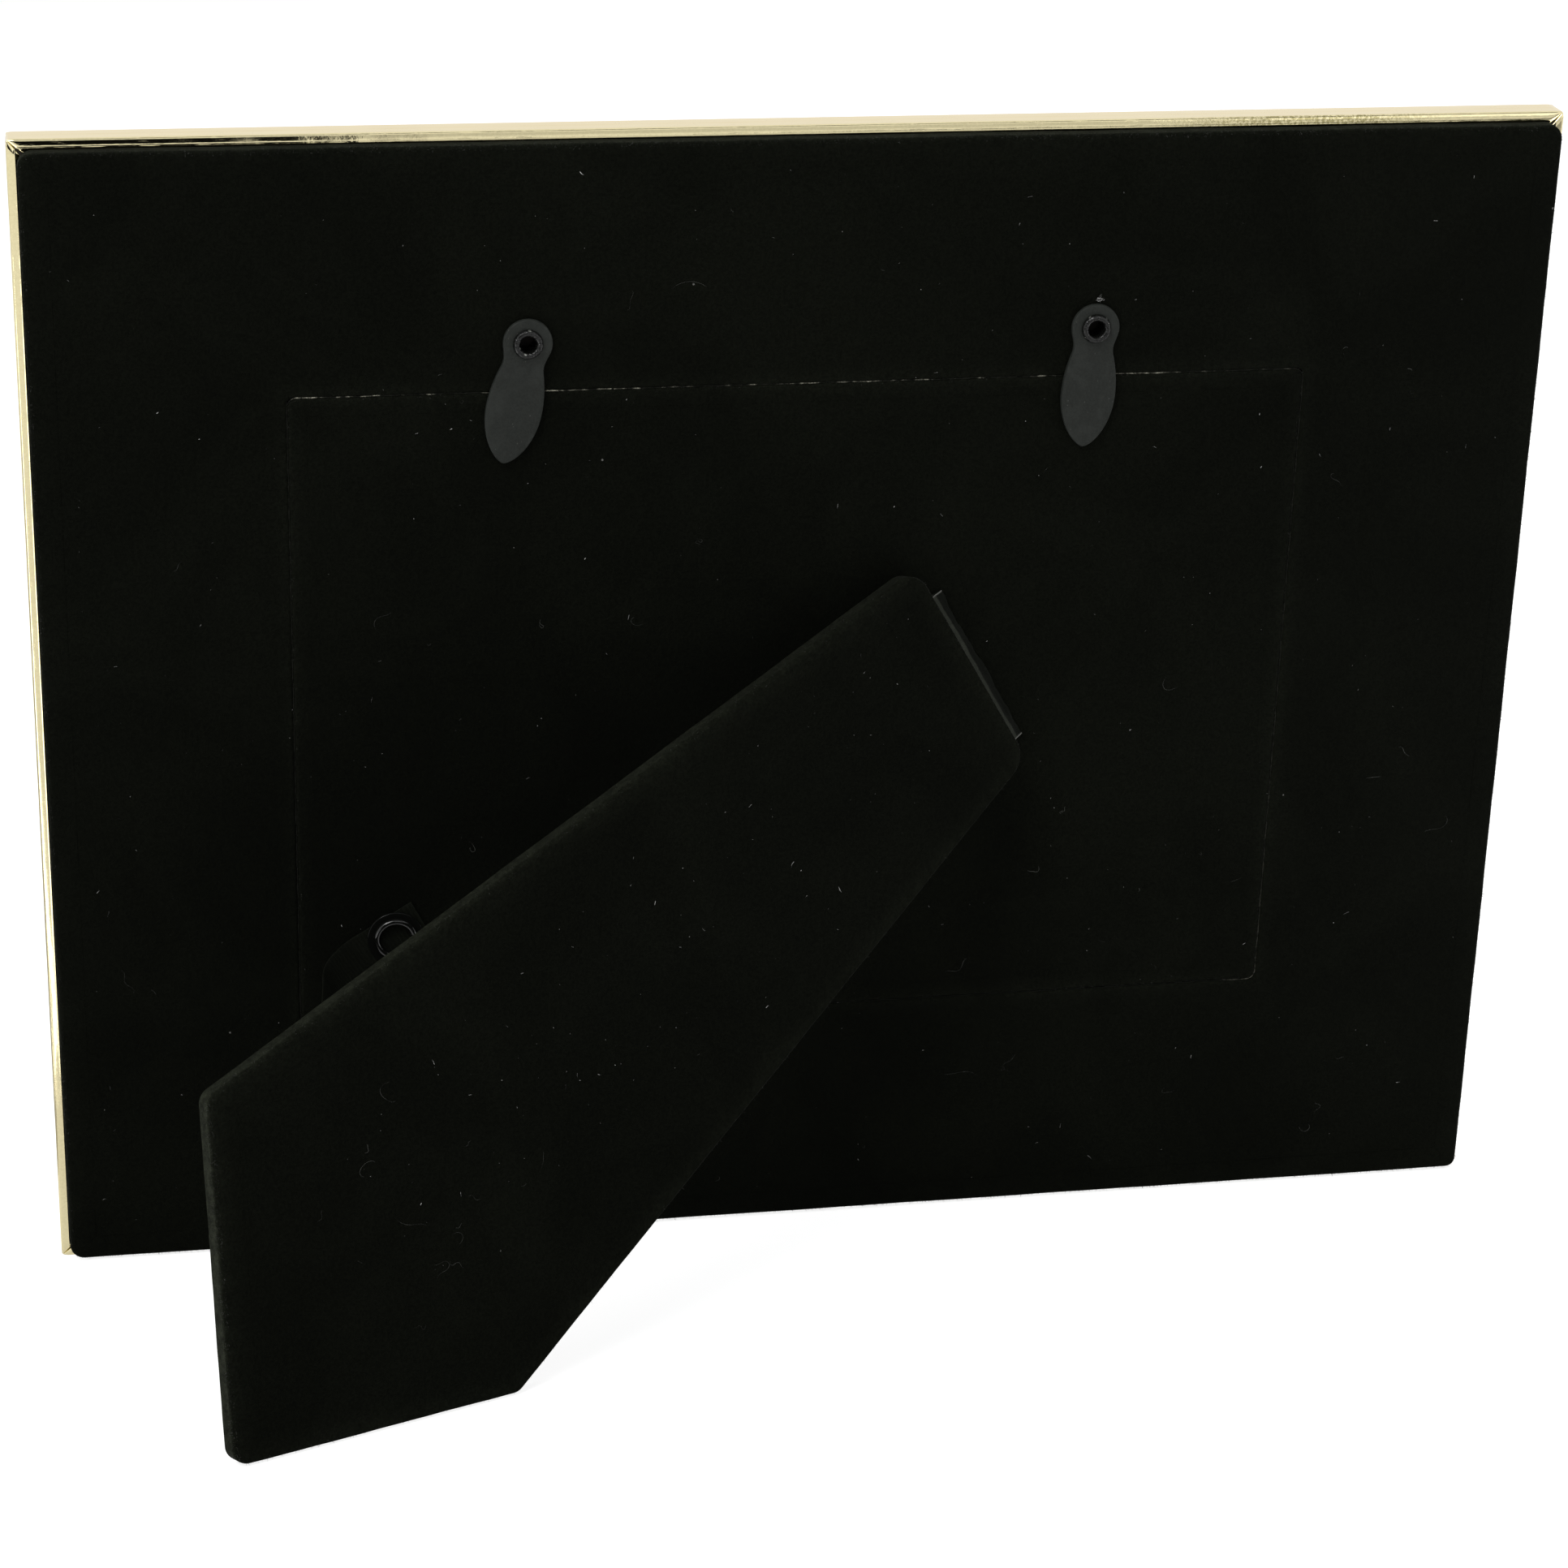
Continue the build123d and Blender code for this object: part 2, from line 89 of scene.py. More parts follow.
MITRE_STATIONS = (0, 0.06, 0.14, 0.25, 0.4, 0.6, 0.85, 1.2, 2.2, 4.0)
FIRST_EVEN_STATION = 6.0
EVEN_STATIONS = 110
# How steeply the painted dark reflection on the lip fades out
DARK_REFLECTION_STEEP = 1.6

# Velvet on the back and the door
BACK_WIDTH = 225.8
BACK_HEIGHT = 175.0
BACK_CORNERS = (2.2, 1.6, 2.2, 2.2)
BACK_ROUND = 0.7
BACK_REACH = 4.0
BACK_WANDER = 0.05
CLOTH_OVER_RIGHT = 0.45
CLOTH_OVER_BOTTOM = 0.6
WINDOW_WIDTH = 153.2
WINDOW_HEIGHT = 102.4
WINDOW_REACH = 2.6
DOOR_WIDTH = 152.4
DOOR_HEIGHT = 101.6
DOOR_CORNER = 1.2
DOOR_SHORT = 0.5
DOOR_WANDER = 0.02
SEAM_ROUND = 0.4
SEAM_PUFF = 0.17
VELVET_FOOT = 5.62
VELVET_FACE = 8.2
SEAM_FOOT = 6.2
# Painted light on the seam's walls, against the shade in the groove
SEAM_PAINTED_LIGHT = 1.7
EDGE_WAVES = ((0.5, 31.0, 0.0), (0.3, 11.3, 2.0), (0.2, 5.1, 4.4))
EDGE_WAVES_REACH = 2.0
TURN_TRACE = 0.16
# How the leg's walls go from a full painted highlight, facing the lamps, down to the least of it
LIT_FROM = 0.1
LIT_OVER = 0.8
LIT_LEAST = 0.1
SHARPEST_CORNER = 0.02
WINDOW_FACE_CORNER = 0.05
FACE_ROWS = (0.1, 0.25, 0.45, 0.7, 1.0)

# Turn buttons and eyelets
BUTTON_PLACES = {"left": -41.6, "right": 43.0}
BUTTON_UP = 58.4
BUTTON_BASE = 8.35
BUTTON_TOP = 9.05
BUTTON_HEAD = 3.62
BUTTON_LENGTH = 18.4
BUTTON_EDGE = 0.24
BUTTON_SWELL = 0.05
BLADE_HALF_WIDTH = 4.12
BLADE_MIDDLE = 10.2
BLADE_ROOT_HALF_WIDTH = 2.5
BLADE_ROOT = 2.2
BLADE_FULLNESS = 0.65
WAIST_EASE = 1.6
BUTTON_HOLE = 1.6
BUTTON_TURNS = {"left": -11.4, "right": -3.1}
EYELET_BORE = 1.2
EYELET_HEAD = 2.2
EYELET_SEAT = 9.15
EYELET_ROLL = 0.62
EYELET_BARREL = 1.55
EYELET_FOOT = 5.7
EYELET_NICKS = 0.14
RIM_DENTS = ((0.4, 2.1), (0.3, 1.26), (0.3, 0.83))
RIM_DENT_DEPTH = 0.35
RIM_SLIT_DEPTH = 0.9
RIM_SIDEWAYS = 0.3
RIM_SLITS = 5
RIM_SLIT_SPREAD = 0.0016

# Easel leg, its tape hinge and its stay
LEG_SLANT = 31.4
LEG_OPENING = 28.2
LEG_CORNERS = ((2.5, 18.4), (1.8, -18.31), (137.19, -34.29), (165.47, 9.54), (126.8, 33.5))
LEG_CORNER_ROUNDS = (4.0, 4.0, 2.5, 2.5, 2.5)
LEG_INNER = 0.3
LEG_OUTER = 3.2
LEG_REACH = 4.2
LEG_WANDER = 0.04
TAPE = 0.3
TAPE_WIDTH = 27.7
TAPE_SHIFT = 2.25
TAPE_PROUD = 0.57
TAPE_SKEW = 0.27
TAPE_FLANGE = 14.0
TAPE_NOSE = -0.1
TAPE_NOSE_RADIUS = 0.32
TAPE_OPENS = 1.2
TAPE_THROAT = 0.25
TAPE_GAP = 0.01
TAPE_SWELL = ((0.12, 17.0, 1.1), (0.09, 7.3, 0.2), (0.05, 3.1, 2.0))
TAPE_CREASE = ((0.1, 9.1, 2.6), (0.05, 4.2, 0.9))
STAY_ALONG = 97.5
STAY_SIDE = -9.5
STAY_HEAD = 4.3
STAY_RING = 3.35
STAY_BORE = 2.4
STAY_BARREL = 2.75
STAY_SEAT = 8.5
STAY_PLATE = 0.35
STAY_ROLL = 0.88
STAY_EDGE = 0.1
STAY_NICKS = 0.02
STAY_CELL_ROOM = 0.5
STAY_HOLE_ROOM = 0.05
STAY_DISH_OUT = 0.3
STAY_DISH_SUNK = 0.06
STAY_RING_SUNK = 0.05
RIBBON = 0.3
RIBBON_WIDTH = 7.4
RIBBON_TAIL = 4.9
RIBBON_BEND = 6.4
RIBBON_LEG_BEND = 4.5
RIBBON_HOLD = 130.0
RIBBON_GLUE = 12.0
RIBBON_EDGE_WAVES = ((0.06, 13.0, 0.2), (0.04, 5.2, 1.0))
RIBBON_ROOM = 0.02
RIBBON_SQUARENESS = 0.2
RIBBON_ROUNDNESS = 0.6
RIBBON_THICK_SHARE = 0.46
RIBBON_CUT = 2.0
RIBBON_CUT_SLANT = 0.06

# Fuzz, lint and the seam's frayed backing
FUZZ_WIDTH = 0.035
LINT_LIFT = 0.06
HAIR_LIFT = 0.05
BACKING_HALF = 0.07
BACKING_SUNK = 0.14
BACKING_HALF_WAVES = ((0.018, 6.1, 0.0), (0.014, 2.3, 1.0), (0.01, 0.9, 3.0))
BACKING_SHIFT_WAVES = ((0.02, 11.0, 0.4), (0.015, 3.7, 2.0))
BACKING_RISE_WAVES = ((0.03, 4.7, 0.8), (0.02, 1.7, 2.5))
DASH_WAVES = ((0.3, 41.0, 0.6), (0.3, 9.1, 2.2), (0.3, 4.3, 0.9), (0.25, 1.9, 4.0))
GAPE_WAVES = ((0.2, 2.3, 0.0), (0.15, 0.9, 1.0))
GAPE_PLACE = 51.4
GAPE_HALF = 3.0
DASH_LEAST = 0.012
DASH_MOST = 0.9
STUB_LENGTH = 6
STUB_FADE = 3
STUB_SHOWS = 0.14
LEFT_SHOWS = 0.01
RIGHT_SHOWS = 0.014
RIGHT_SHOWS_MORE = 0.09
SIDE_BAND = 0.6

# Patterns on the pieces' own distances, in metres
LIP_STARTS = (0.005, 0.0058)
LIP_ENDS = (0.0076, 0.008)
# Where the tape's painted highlight and painted shade change, by the distance round its fold
TAPE_HIGHLIGHT_BAND = (0.00095, 0.0012)
TAPE_SHADE_FADE = (0.0002, 0.0009)
TAPE_CUT = 0.0003
RIB_SPACING = 0.00062

# Colours of the finishes
GOLD_DEEP = (0.765, 0.635, 0.35, 1)
GOLD_LIGHT = (0.795, 0.67, 0.39, 1)
GOLD_DRAWN = (0.8, 0.715, 0.44, 1)
# Painted dark reflection on the top rail's lip
GOLD_DARK_REFLECTION = (0.42, 0.37, 0.18, 1)
GOLD_DULLED = (0.7, 0.59, 0.37, 1)
PILE_SHEEN = (0.86, 0.87, 0.8, 1)
PILE_DUST = (0.09, 0.09, 0.085, 1)
PAINT_DARK = (0.0125, 0.0142, 0.0123, 1)
PAINT_LIGHT = (0.016, 0.018, 0.0157, 1)
PAINT_RUBBED = (0.023, 0.0255, 0.0228, 1)
PAINT_DUST = (0.048, 0.049, 0.045, 1)
LACQUER_BLACK = (0.0035, 0.0038, 0.0033, 1)
LACQUER_NICK = (0.3, 0.31, 0.28, 1)
# The tape's painted shaded and lit tones and its painted highlight
TAPE_SHADED = (0.0042, 0.0049, 0.0036, 1)
TAPE_LIT = (0.0062, 0.007, 0.0056, 1)
TAPE_HIGHLIGHT = (0.028, 0.031, 0.024, 1)
TAPE_CUT_END = (0.13, 0.13, 0.12, 1)
STEEL_CLEAN = (0.56, 0.57, 0.58, 1)
STEEL_OILY = (0.36, 0.35, 0.33, 1)
GLASS_CLEAR = (0.97, 0.99, 0.98, 1)
GLASS_SMUDGED = (0.94, 0.96, 0.95, 1)
PRINT_WARM = (0.82, 0.79, 0.72, 1)
PRINT_PALE = (0.87, 0.85, 0.79, 1)
BACKING_HIDDEN = (0.0035, 0.004, 0.0028, 1)
BACKING_CREAM = (0.36, 0.35, 0.28, 1)
BOARD_DARK = (0.009, 0.009, 0.009, 1)
BOARD_LIGHT = (0.02, 0.02, 0.019, 1)
# Painted shade: the core's near black stands for the darkness down the eyelets' bores
CORE_SHADE_DARK = (0.007, 0.006, 0.005, 1)
CORE_SHADE_LIGHT = (0.022, 0.018, 0.014, 1)
CARD_DARK = (0.24, 0.22, 0.2, 1)
CARD_LIGHT = (0.33, 0.31, 0.28, 1)
FUZZ_DARK = (0.005, 0.0054, 0.0044, 1)
FUZZ_LIGHT = (0.045, 0.046, 0.042, 1)
HAIR_DARK = (0.012, 0.0125, 0.011, 1)
HAIR_LIGHT = (0.075, 0.078, 0.07, 1)
LINT_DARK = (0.08, 0.08, 0.078, 1)
LINT_LIGHT = (0.35, 0.35, 0.34, 1)
FLOOR_GREY = (0.86, 0.86, 0.86, 1)
FLOOR_PALE = (0.88, 0.88, 0.88, 1)
FLOOR_SHADOWED = (0.3, 0.3, 0.3, 1)
WHITE = (1, 1, 1, 1)

# Camera and studio, in metres; a card has a name, a centre, two sides and a shade
CAMERA_PLACE = (0.1102, 0.5536, 0.2312)
CAMERA_AIM = (0.0037, -0.0165, 0.0771)
CAMERA_LENS = 91.34
CAMERA_FILM = 36.0
FLOOR_SIZE = 6.0
FLOOR_GLOW = 0.87
FLOOR_MIRRORED_LESS = 0.37
LAMP_AIM = (0, 0, 0.09)
STUDIO_CARDS = (
    ("dark_stand", (0.322, 0.62, 0.26), (0.6, 0, 0), (0, 0, 0.48), 0.004),
    ("grey_room", (-1.5, 2.2, 0.6), (3.0, 0, 0), (0, 0, 1.6), 0.7),
    ("bright_table", (-0.4, 0.06, 0.001), (0.5, 0, 0), (0, 0.68, 0), 2.2),
    ("bright_left", (0.279, 0.114, 0.001), (0.272, 0.236, 0), (-0.059, 0.068, 0), 3.0),
    ("grey_left", (0.34, -0.1, 0.001), (0.4, 0, 0), (0, 0.26, 0), 0.45),
    ("dark_table", (-0.355, 0.325, 0.002), (0.49, 0, 0), (0, 0.55, 0), 0.36),
    ("bright_room", (-1.85, 2.15, 0.85), (2.2, 0, 0), (0, 0, 1.2), 1.5),
    ("bright_right", (-0.126, -0.018, 0.08), (0.018, 0.0115, 0), (0, 0.026, 0.174), 2.6),
    ("dark_top_card", (0.0, 0.47, 1.3), (1.6, 0, 0), (0, 0.38, 0), 0.02),
)

# The frame's own axes in the row frame
mounts = {mount["name"]: mount for mount in frame["record"]["mounts"]}
joints = {joint["name"]: joint for joint in frame["joints"]}
OUT = np.array(mounts["picture_pocket"]["axis"])
RIGHT = np.array([-1.0, 0.0, 0.0])
UP = np.cross(OUT, RIGHT)
CENTRE = np.array(mounts["picture_pocket"]["pos_m"]) - OUT * PICTURE_DEPTH * MM

# The leg's axes: along it from the hinge, across it to the lower right, and out of its velvet
HINGE = np.array(joints["leg_hinge"]["pos_m"])
HINGE_AXIS = np.array(joints["leg_hinge"]["axis"])
LEG_ACROSS = -HINGE_AXIS
FOLDED_ALONG = np.cross(LEG_ACROSS, OUT)
OPEN_COS = math.cos(math.radians(LEG_OPENING))
OPEN_SIN = math.sin(math.radians(LEG_OPENING))
LEG_ALONG = FOLDED_ALONG * OPEN_COS + OUT * OPEN_SIN
LEG_OUT = OUT * OPEN_COS - FOLDED_ALONG * OPEN_SIN
# The side of the leg towards the lamps, whose walls get a painted highlight
LEG_LIT_SIDE = LEG_ALONG * 0.9 - LEG_ACROSS * 0.45


def places_from(origin, first, second, third):
    """A function that takes distances along three axes from an origin, in millimetres, to row-frame
    points."""

    def place(a, b, c):
        a, b, c = np.broadcast_arrays(a, b, c)
        local = a[..., None] * first + b[..., None] * second + c[..., None] * third
        return origin + local * MM

    return place


# Right, up and out of the frame's front; along, across and out of the open leg; the same for the folded leg
on_back = places_from(CENTRE, RIGHT, UP, OUT)
on_leg = places_from(HINGE, LEG_ALONG, LEG_ACROSS, LEG_OUT)
at_hinge = places_from(HINGE, FOLDED_ALONG, LEG_ACROSS, OUT)


def unit(vectors):
    """Vectors divided by their lengths."""
    return vectors / np.maximum(np.linalg.norm(vectors, axis=-1, keepdims=True), 1e-12)


def ripple(x, waves):
    """A gentle wander: the sum of sine waves given as amplitude, wavelength and phase."""
    return sum(height * np.sin(2 * math.pi * x / length + phase) for height, length, phase in waves)


def bell(x, middle, half):
    """A bell curve: e to the minus square of the distance from its middle over its half width."""
    return np.exp(-(((x - middle) / half) ** 2))


# Meshes from grids
def patch(points, wrap_u=False, wrap_v=False, lay=None, turned=None):
    """Vertices, quads and pattern places of a grid of points, closed along u or v where wrapped. A pattern
    place is two distances on the piece and one share: how far a cloth has turned over its edge, which sets
    its painted highlight, how much a rim is rolled, how much backing shows, or how much painted dark
    reflection a lip gets."""
    rows, columns = points.shape[:2]
    i = np.arange(rows if wrap_u else rows - 1)[:, None]
    j = np.arange(columns if wrap_v else columns - 1)[None, :]
    next_i = (i + 1) % rows
    next_j = (j + 1) % columns
    corners = (i * columns + j, next_i * columns + j, next_i * columns + next_j, i * columns + next_j)
    faces = np.stack(np.broadcast_arrays(*corners), axis=-1).reshape(-1, 4)
    places = np.zeros(points.shape)
    if lay is not None:
        places[..., :2] = lay
    if turned is not None:
        places[..., 2] = turned
    return points.reshape(-1, 3), faces, places.reshape(-1, 3)


def fan(points):
    """One flat face through a closed row of points."""
    return points, np.arange(len(points))[None, :], np.zeros((len(points), 3))


def capped_tube(points, lay):
    """The walls of a closed section carried along a path, and a flat face over each end."""
    return [patch(points, wrap_v=True, lay=lay), fan(points[0]), fan(points[-1, ::-1])]


def piece(name, patches, material, body, stands_for=(), sharp=40.0):
    """One object from patches, smooth except at edges sharper than an angle, riding on a body."""
    vertices = np.concatenate([p[0] for p in patches])
    lays = np.concatenate([p[2] for p in patches])
    starts = np.cumsum([0] + [len(p[0]) for p in patches[:-1]])
    faces = [face for p, start in zip(patches, starts) for face in (p[1] + start).tolist()]
    mesh = bpy.data.meshes.new(name)
    mesh.from_pydata(vertices.tolist(), [], faces)
    lay = mesh.attributes.new("lay", "FLOAT_VECTOR", "POINT")
    lay.data.foreach_set("vector", lays.ravel())
    mesh.shade_smooth()
    mesh.set_sharp_from_angle(angle=math.radians(sharp))
    mesh.materials.append(material)
    obj = bpy.data.objects.new(name, mesh)
    bpy.context.scene.collection.objects.link(obj)
    if body is not None:
        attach(obj, body)
    if stands_for:
        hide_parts(*stands_for)
    return obj


# Shader nodes
def put(tree, kind, inputs=None, **settings):
    """Adds a node with its settings, and sets or links its inputs by name."""
    node = tree.nodes.new(kind)
    for key, value in settings.items():
        setattr(node, key, value)
    for key, value in (inputs or {}).items():
        if isinstance(value, bpy.types.NodeSocket):
            tree.links.new(value, node.inputs[key])
        else:
            node.inputs[key].default_value = value
    return node


def feed(node, **values):
    """Links values to a node's sockets, named with underscores for spaces."""
    for key, value in values.items():
        node.id_data.links.new(value, node.inputs[key.replace("_", " ")])


def maths(tree, operation, *values, clamp=False):
    """A Math node's result."""
    node = put(tree, "ShaderNodeMath", dict(enumerate(values)), operation=operation, use_clamp=clamp)
    return node.outputs[0]


def times(tree, first, second, clamp=False):
    """One value times another."""
    return maths(tree, "MULTIPLY", first, second, clamp=clamp)


def plus(tree, first, second):
    """One value added to another."""
    return maths(tree, "ADD", first, second)


def ramp(tree, value, low, high, to_low=0.0, to_high=1.0):
    """A value carried smoothly from one range to another."""
    inputs = {"Value": value, "From Min": low, "From Max": high, "To Min": to_low, "To Max": to_high}
    return put(tree, "ShaderNodeMapRange", inputs, interpolation_type="SMOOTHSTEP").outputs[0]


def tint(tree, share, first, second):
    """A colour between two colours."""
    node = put(tree, "ShaderNodeMix", {0: share, 6: first, 7: second}, data_type="RGBA")
    return node.outputs[2]


def near_black(tree, red, green_share, blue_share):
    """A dark colour from its red and the shares of green and blue to it."""
    parts = {0: red, 1: times(tree, red, green_share), 2: times(tree, red, blue_share)}
    return put(tree, "ShaderNodeCombineColor", parts).outputs[0]


def noise(tree, place, scale, detail=3.0, roughness=0.55, distortion=0.0):
    """Cloudy noise between 0 and 1, with a number of spots to the metre."""
    inputs = {"Vector": place, "Scale": scale, "Detail": detail, "Roughness": roughness}
    inputs["Distortion"] = distortion
    return put(tree, "ShaderNodeTexNoise", inputs).outputs["Fac"]


def group(name, values, results):
    """A shader node group that reads a place and named values; returns it with its inputs and its output
    node."""
    tree = bpy.data.node_groups.new(name, "ShaderNodeTree")
    tree.interface.new_socket("Place", in_out="INPUT", socket_type="NodeSocketVector")
    for socket in values:
        tree.interface.new_socket(socket, in_out="INPUT", socket_type="NodeSocketFloat")
    for socket in results:
        tree.interface.new_socket(socket, in_out="OUTPUT", socket_type="NodeSocketFloat")
    return tree, tree.nodes.new("NodeGroupInput").outputs, tree.nodes.new("NodeGroupOutput")


def make_pile_group():
    """Cloth pile: fine tufts for the bump, and slow brushed patches times the tufts for the tone."""
    tree, given, result = group("cloth_pile", ("Tufts", "Patches"), ("Tone", "Height"))
    tufts = noise(tree, given["Place"], given["Tufts"], 2.0, 0.7)
    strands = noise(tree, given["Place"], times(tree, given["Tufts"], 3.1), 1.0)
    patches = noise(tree, given["Place"], given["Patches"], 4.0, 0.6, 0.8)
    brushed = ramp(tree, patches, 0.3, 0.7, 0.85, 1.2)
    tone = times(tree, brushed, ramp(tree, tufts, 0.3, 0.7, 0.75, 1.25))
    feed(result, Tone=tone, Height=plus(tree, tufts, times(tree, strands, 0.6)))
    return tree


def make_speck_group():
    """Dust: in a share of Voronoi cells, a small dot where the distance to the cell's point is under the
    dot's size, which changes from cell to cell."""
    tree, given, result = group("dust_specks", ("Cells", "Size", "Share"), ("Mask",))
    cells = put(tree, "ShaderNodeTexVoronoi", {"Vector": given["Place"], "Scale": given["Cells"]})
    pick = put(tree, "ShaderNodeSeparateColor", {"Color": cells.outputs["Color"]})
    size = times(tree, given["Size"], ramp(tree, pick.outputs[1], 0.0, 1.0, 0.4, 1.6))
    dot = maths(tree, "LESS_THAN", cells.outputs["Distance"], size)
    chosen = maths(tree, "LESS_THAN", pick.outputs[0], given["Share"])
    feed(result, Mask=times(tree, dot, chosen))
    return tree


def make_smudge_group():
    """Handling marks: cloudy patches where slow noise is high, broken up by finer noise."""
    tree, given, result = group("smudges", ("Patches",), ("Mask",))
    slow = noise(tree, given["Place"], given["Patches"], 3.0, 0.6, 1.2)
    fine = noise(tree, given["Place"], times(tree, given["Patches"], 9.0), 4.0, 0.65)
    feed(result, Mask=ramp(tree, plus(tree, slow, times(tree, fine, 0.35)), 0.6, 0.86))
    return tree


def make_scratch_group():
    """Hairline scratches: noise drawn out along the piece, kept where it crosses a narrow band of
    values."""
    tree, given, result = group("hairline_scratches", ("Fineness",), ("Mask",))
    drawn = put(tree, "ShaderNodeVectorMath", {0: given["Place"], 1: (0.05, 1.0, 1.0)}, operation="MULTIPLY")
    lines = noise(tree, drawn.outputs[0], given["Fineness"], 2.0, 0.6, 0.4)
    near = maths(tree, "ABSOLUTE", maths(tree, "SUBTRACT", lines, 0.5))
    slow = noise(tree, given["Place"], times(tree, given["Fineness"], 0.08))
    feed(result, Mask=times(tree, ramp(tree, near, 0.0, 0.03, 1.0, 0.0), ramp(tree, slow, 0.45, 0.65)))
    return tree


PILE = make_pile_group()
SPECKS = make_speck_group()
SMUDGES = make_smudge_group()
SCRATCHES = make_scratch_group()


def place_group(tree, made, **inputs):
    """A node group placed in a material with its own values."""
    return put(tree, "ShaderNodeGroup", inputs, node_tree=made).outputs


def smudges(tree, place, patches):
    """Handling marks with a number of patches to the metre."""
    return place_group(tree, SMUDGES, Place=place, Patches=patches)["Mask"]


def bare_material(name):
    """A material without nodes, and its node tree."""
    material = bpy.data.materials.new(name)
    material.use_nodes = True
    material.node_tree.nodes.clear()
    return material, material.node_tree


def start_material(name, **constants):
    """A material with one Principled shader, its plain values, and its Object coordinates."""
    material, tree = bare_material(name)
    plain = {key.replace("_", " "): value for key, value in constants.items()}
    shader = put(tree, "ShaderNodeBsdfPrincipled", plain)
    put(tree, "ShaderNodeOutputMaterial", {"Surface": shader.outputs[0]})
    return material, tree, shader, put(tree, "ShaderNodeTexCoord").outputs["Object"]


def lay_of(tree):
    """A piece's own pattern place, whole and in its three parts."""
    lay = put(tree, "ShaderNodeAttribute", attribute_name="lay").outputs["Vector"]
    return lay, put(tree, "ShaderNodeSeparateXYZ", {"Vector": lay}).outputs


def raise_surface(shader, height, strength, distance):
    """Feeds a height through a Bump node into the shader's normal."""
    inputs = {"Height": height, "Strength": strength, "Distance": distance}
    feed(shader, Normal=put(shader.id_data, "ShaderNodeBump", inputs).outputs[0])


# Finishes
def black_velvet_material(name, tone, pile_and_painted_light):
    """Short black pile: brushed patches and tufts over a near-black colour, dust dots, sheen at the edges,
    and a lighter tone in streaks where the cloth turns over an edge: partly its pile opening, partly a
    painted highlight for the sheen and lamplight on those edges."""
    sheen = {"Sheen_Weight": 0.06, "Sheen_Roughness": 0.22, "Sheen_Tint": PILE_SHEEN}
    material, tree, shader, place = start_material(name, Roughness=0.95, Specular_IOR_Level=0.02, **sheen)
    pile = place_group(tree, PILE, Place=place, Tufts=2400.0, Patches=34.0)
    dust = place_group(tree, SPECKS, Place=place, Cells=230.0, Size=0.026, Share=0.07)["Mask"]
    # Painted highlight along the edges, by the turn share in the pattern place, together with the pile opening
    turned = lay_of(tree)[1][2]
    streaks = ramp(tree, noise(tree, place, 800.0, 3.0, 0.65), 0.3, 0.7, 0.45 * pile_and_painted_light, 1.55 * pile_and_painted_light)
    lift = plus(tree, 1.0, times(tree, turned, streaks))
    shade = times(tree, times(tree, pile["Tone"], tone), lift)
    feed(shader, Base_Color=tint(tree, dust, near_black(tree, shade, 1.14, 0.76), PILE_DUST))
    raise_surface(shader, pile["Height"], 0.5, 0.0002)
    return material


def gold_material():
    """Polished pale gold plate: slow tone changes, smudges and hairlines in the gloss, and a faintly
    mottled surface. On the lip it has a drawn tone and a stronger mottle, with dark specks painted over one
    stretch as a darker reflection."""
    material, tree, shader, place = start_material("polished_gold", Metallic=1.0)
    lay, parts = lay_of(tree)
    smudge = smudges(tree, place, 45.0)
    scratch = place_group(tree, SCRATCHES, Place=lay, Fineness=2600.0)["Mask"]
    on_lip = times(tree, ramp(tree, parts[1], *LIP_STARTS), ramp(tree, parts[1], *LIP_ENDS, 1.0, 0.0))
    plain = tint(tree, ramp(tree, noise(tree, place, 22.0), 0.3, 0.7), GOLD_DEEP, GOLD_LIGHT)
    specks = ramp(tree, noise(tree, place, 2300.0, 2.0, 0.7), 0.38, 0.62)
    # Painted dark reflection: dark specks on the lip, by the share in the pattern place
    painted_reflection = times(tree, specks, plus(tree, 0.12, parts[2]), clamp=True)
    gold = tint(tree, on_lip, plain, tint(tree, painted_reflection, GOLD_DRAWN, GOLD_DARK_REFLECTION))
    gloss = plus(tree, 0.06, times(tree, smudge, 0.12))
    feed(shader, Base_Color=tint(tree, times(tree, smudge, 0.16), gold, GOLD_DULLED))
    feed(shader, Roughness=plus(tree, gloss, times(tree, scratch, 0.16)))
    mottle = times(tree, noise(tree, place, 1100.0, 3.0, 0.6), ramp(tree, on_lip, 0.0, 1.0, 0.06, 0.6))
    raise_surface(shader, maths(tree, "SUBTRACT", mottle, times(tree, scratch, 0.12)), 0.3, 0.00006)
    return material


def painted_grey_material():
    """Dull dark-grey paint on the turn buttons: fine orange peel, rubbed patches and dust."""
    material, tree, shader, place = start_material("button_paint", Specular_IOR_Level=0.1)
    rub = smudges(tree, place, 160.0)
    dust = place_group(tree, SPECKS, Place=place, Cells=1600.0, Size=0.09, Share=0.16)["Mask"]
    peel = noise(tree, place, 3200.0, 2.0, 0.6)
    paint = tint(tree, ramp(tree, peel, 0.35, 0.65), PAINT_DARK, PAINT_LIGHT)
    rubbed = tint(tree, times(tree, rub, 0.5), paint, PAINT_RUBBED)
    feed(shader, Base_Color=tint(tree, dust, rubbed, PAINT_DUST))
    feed(shader, Roughness=ramp(tree, rub, 0.0, 1.0, 0.62, 0.46))
    raise_surface(shader, peel, 0.25, 0.00008)
    return material


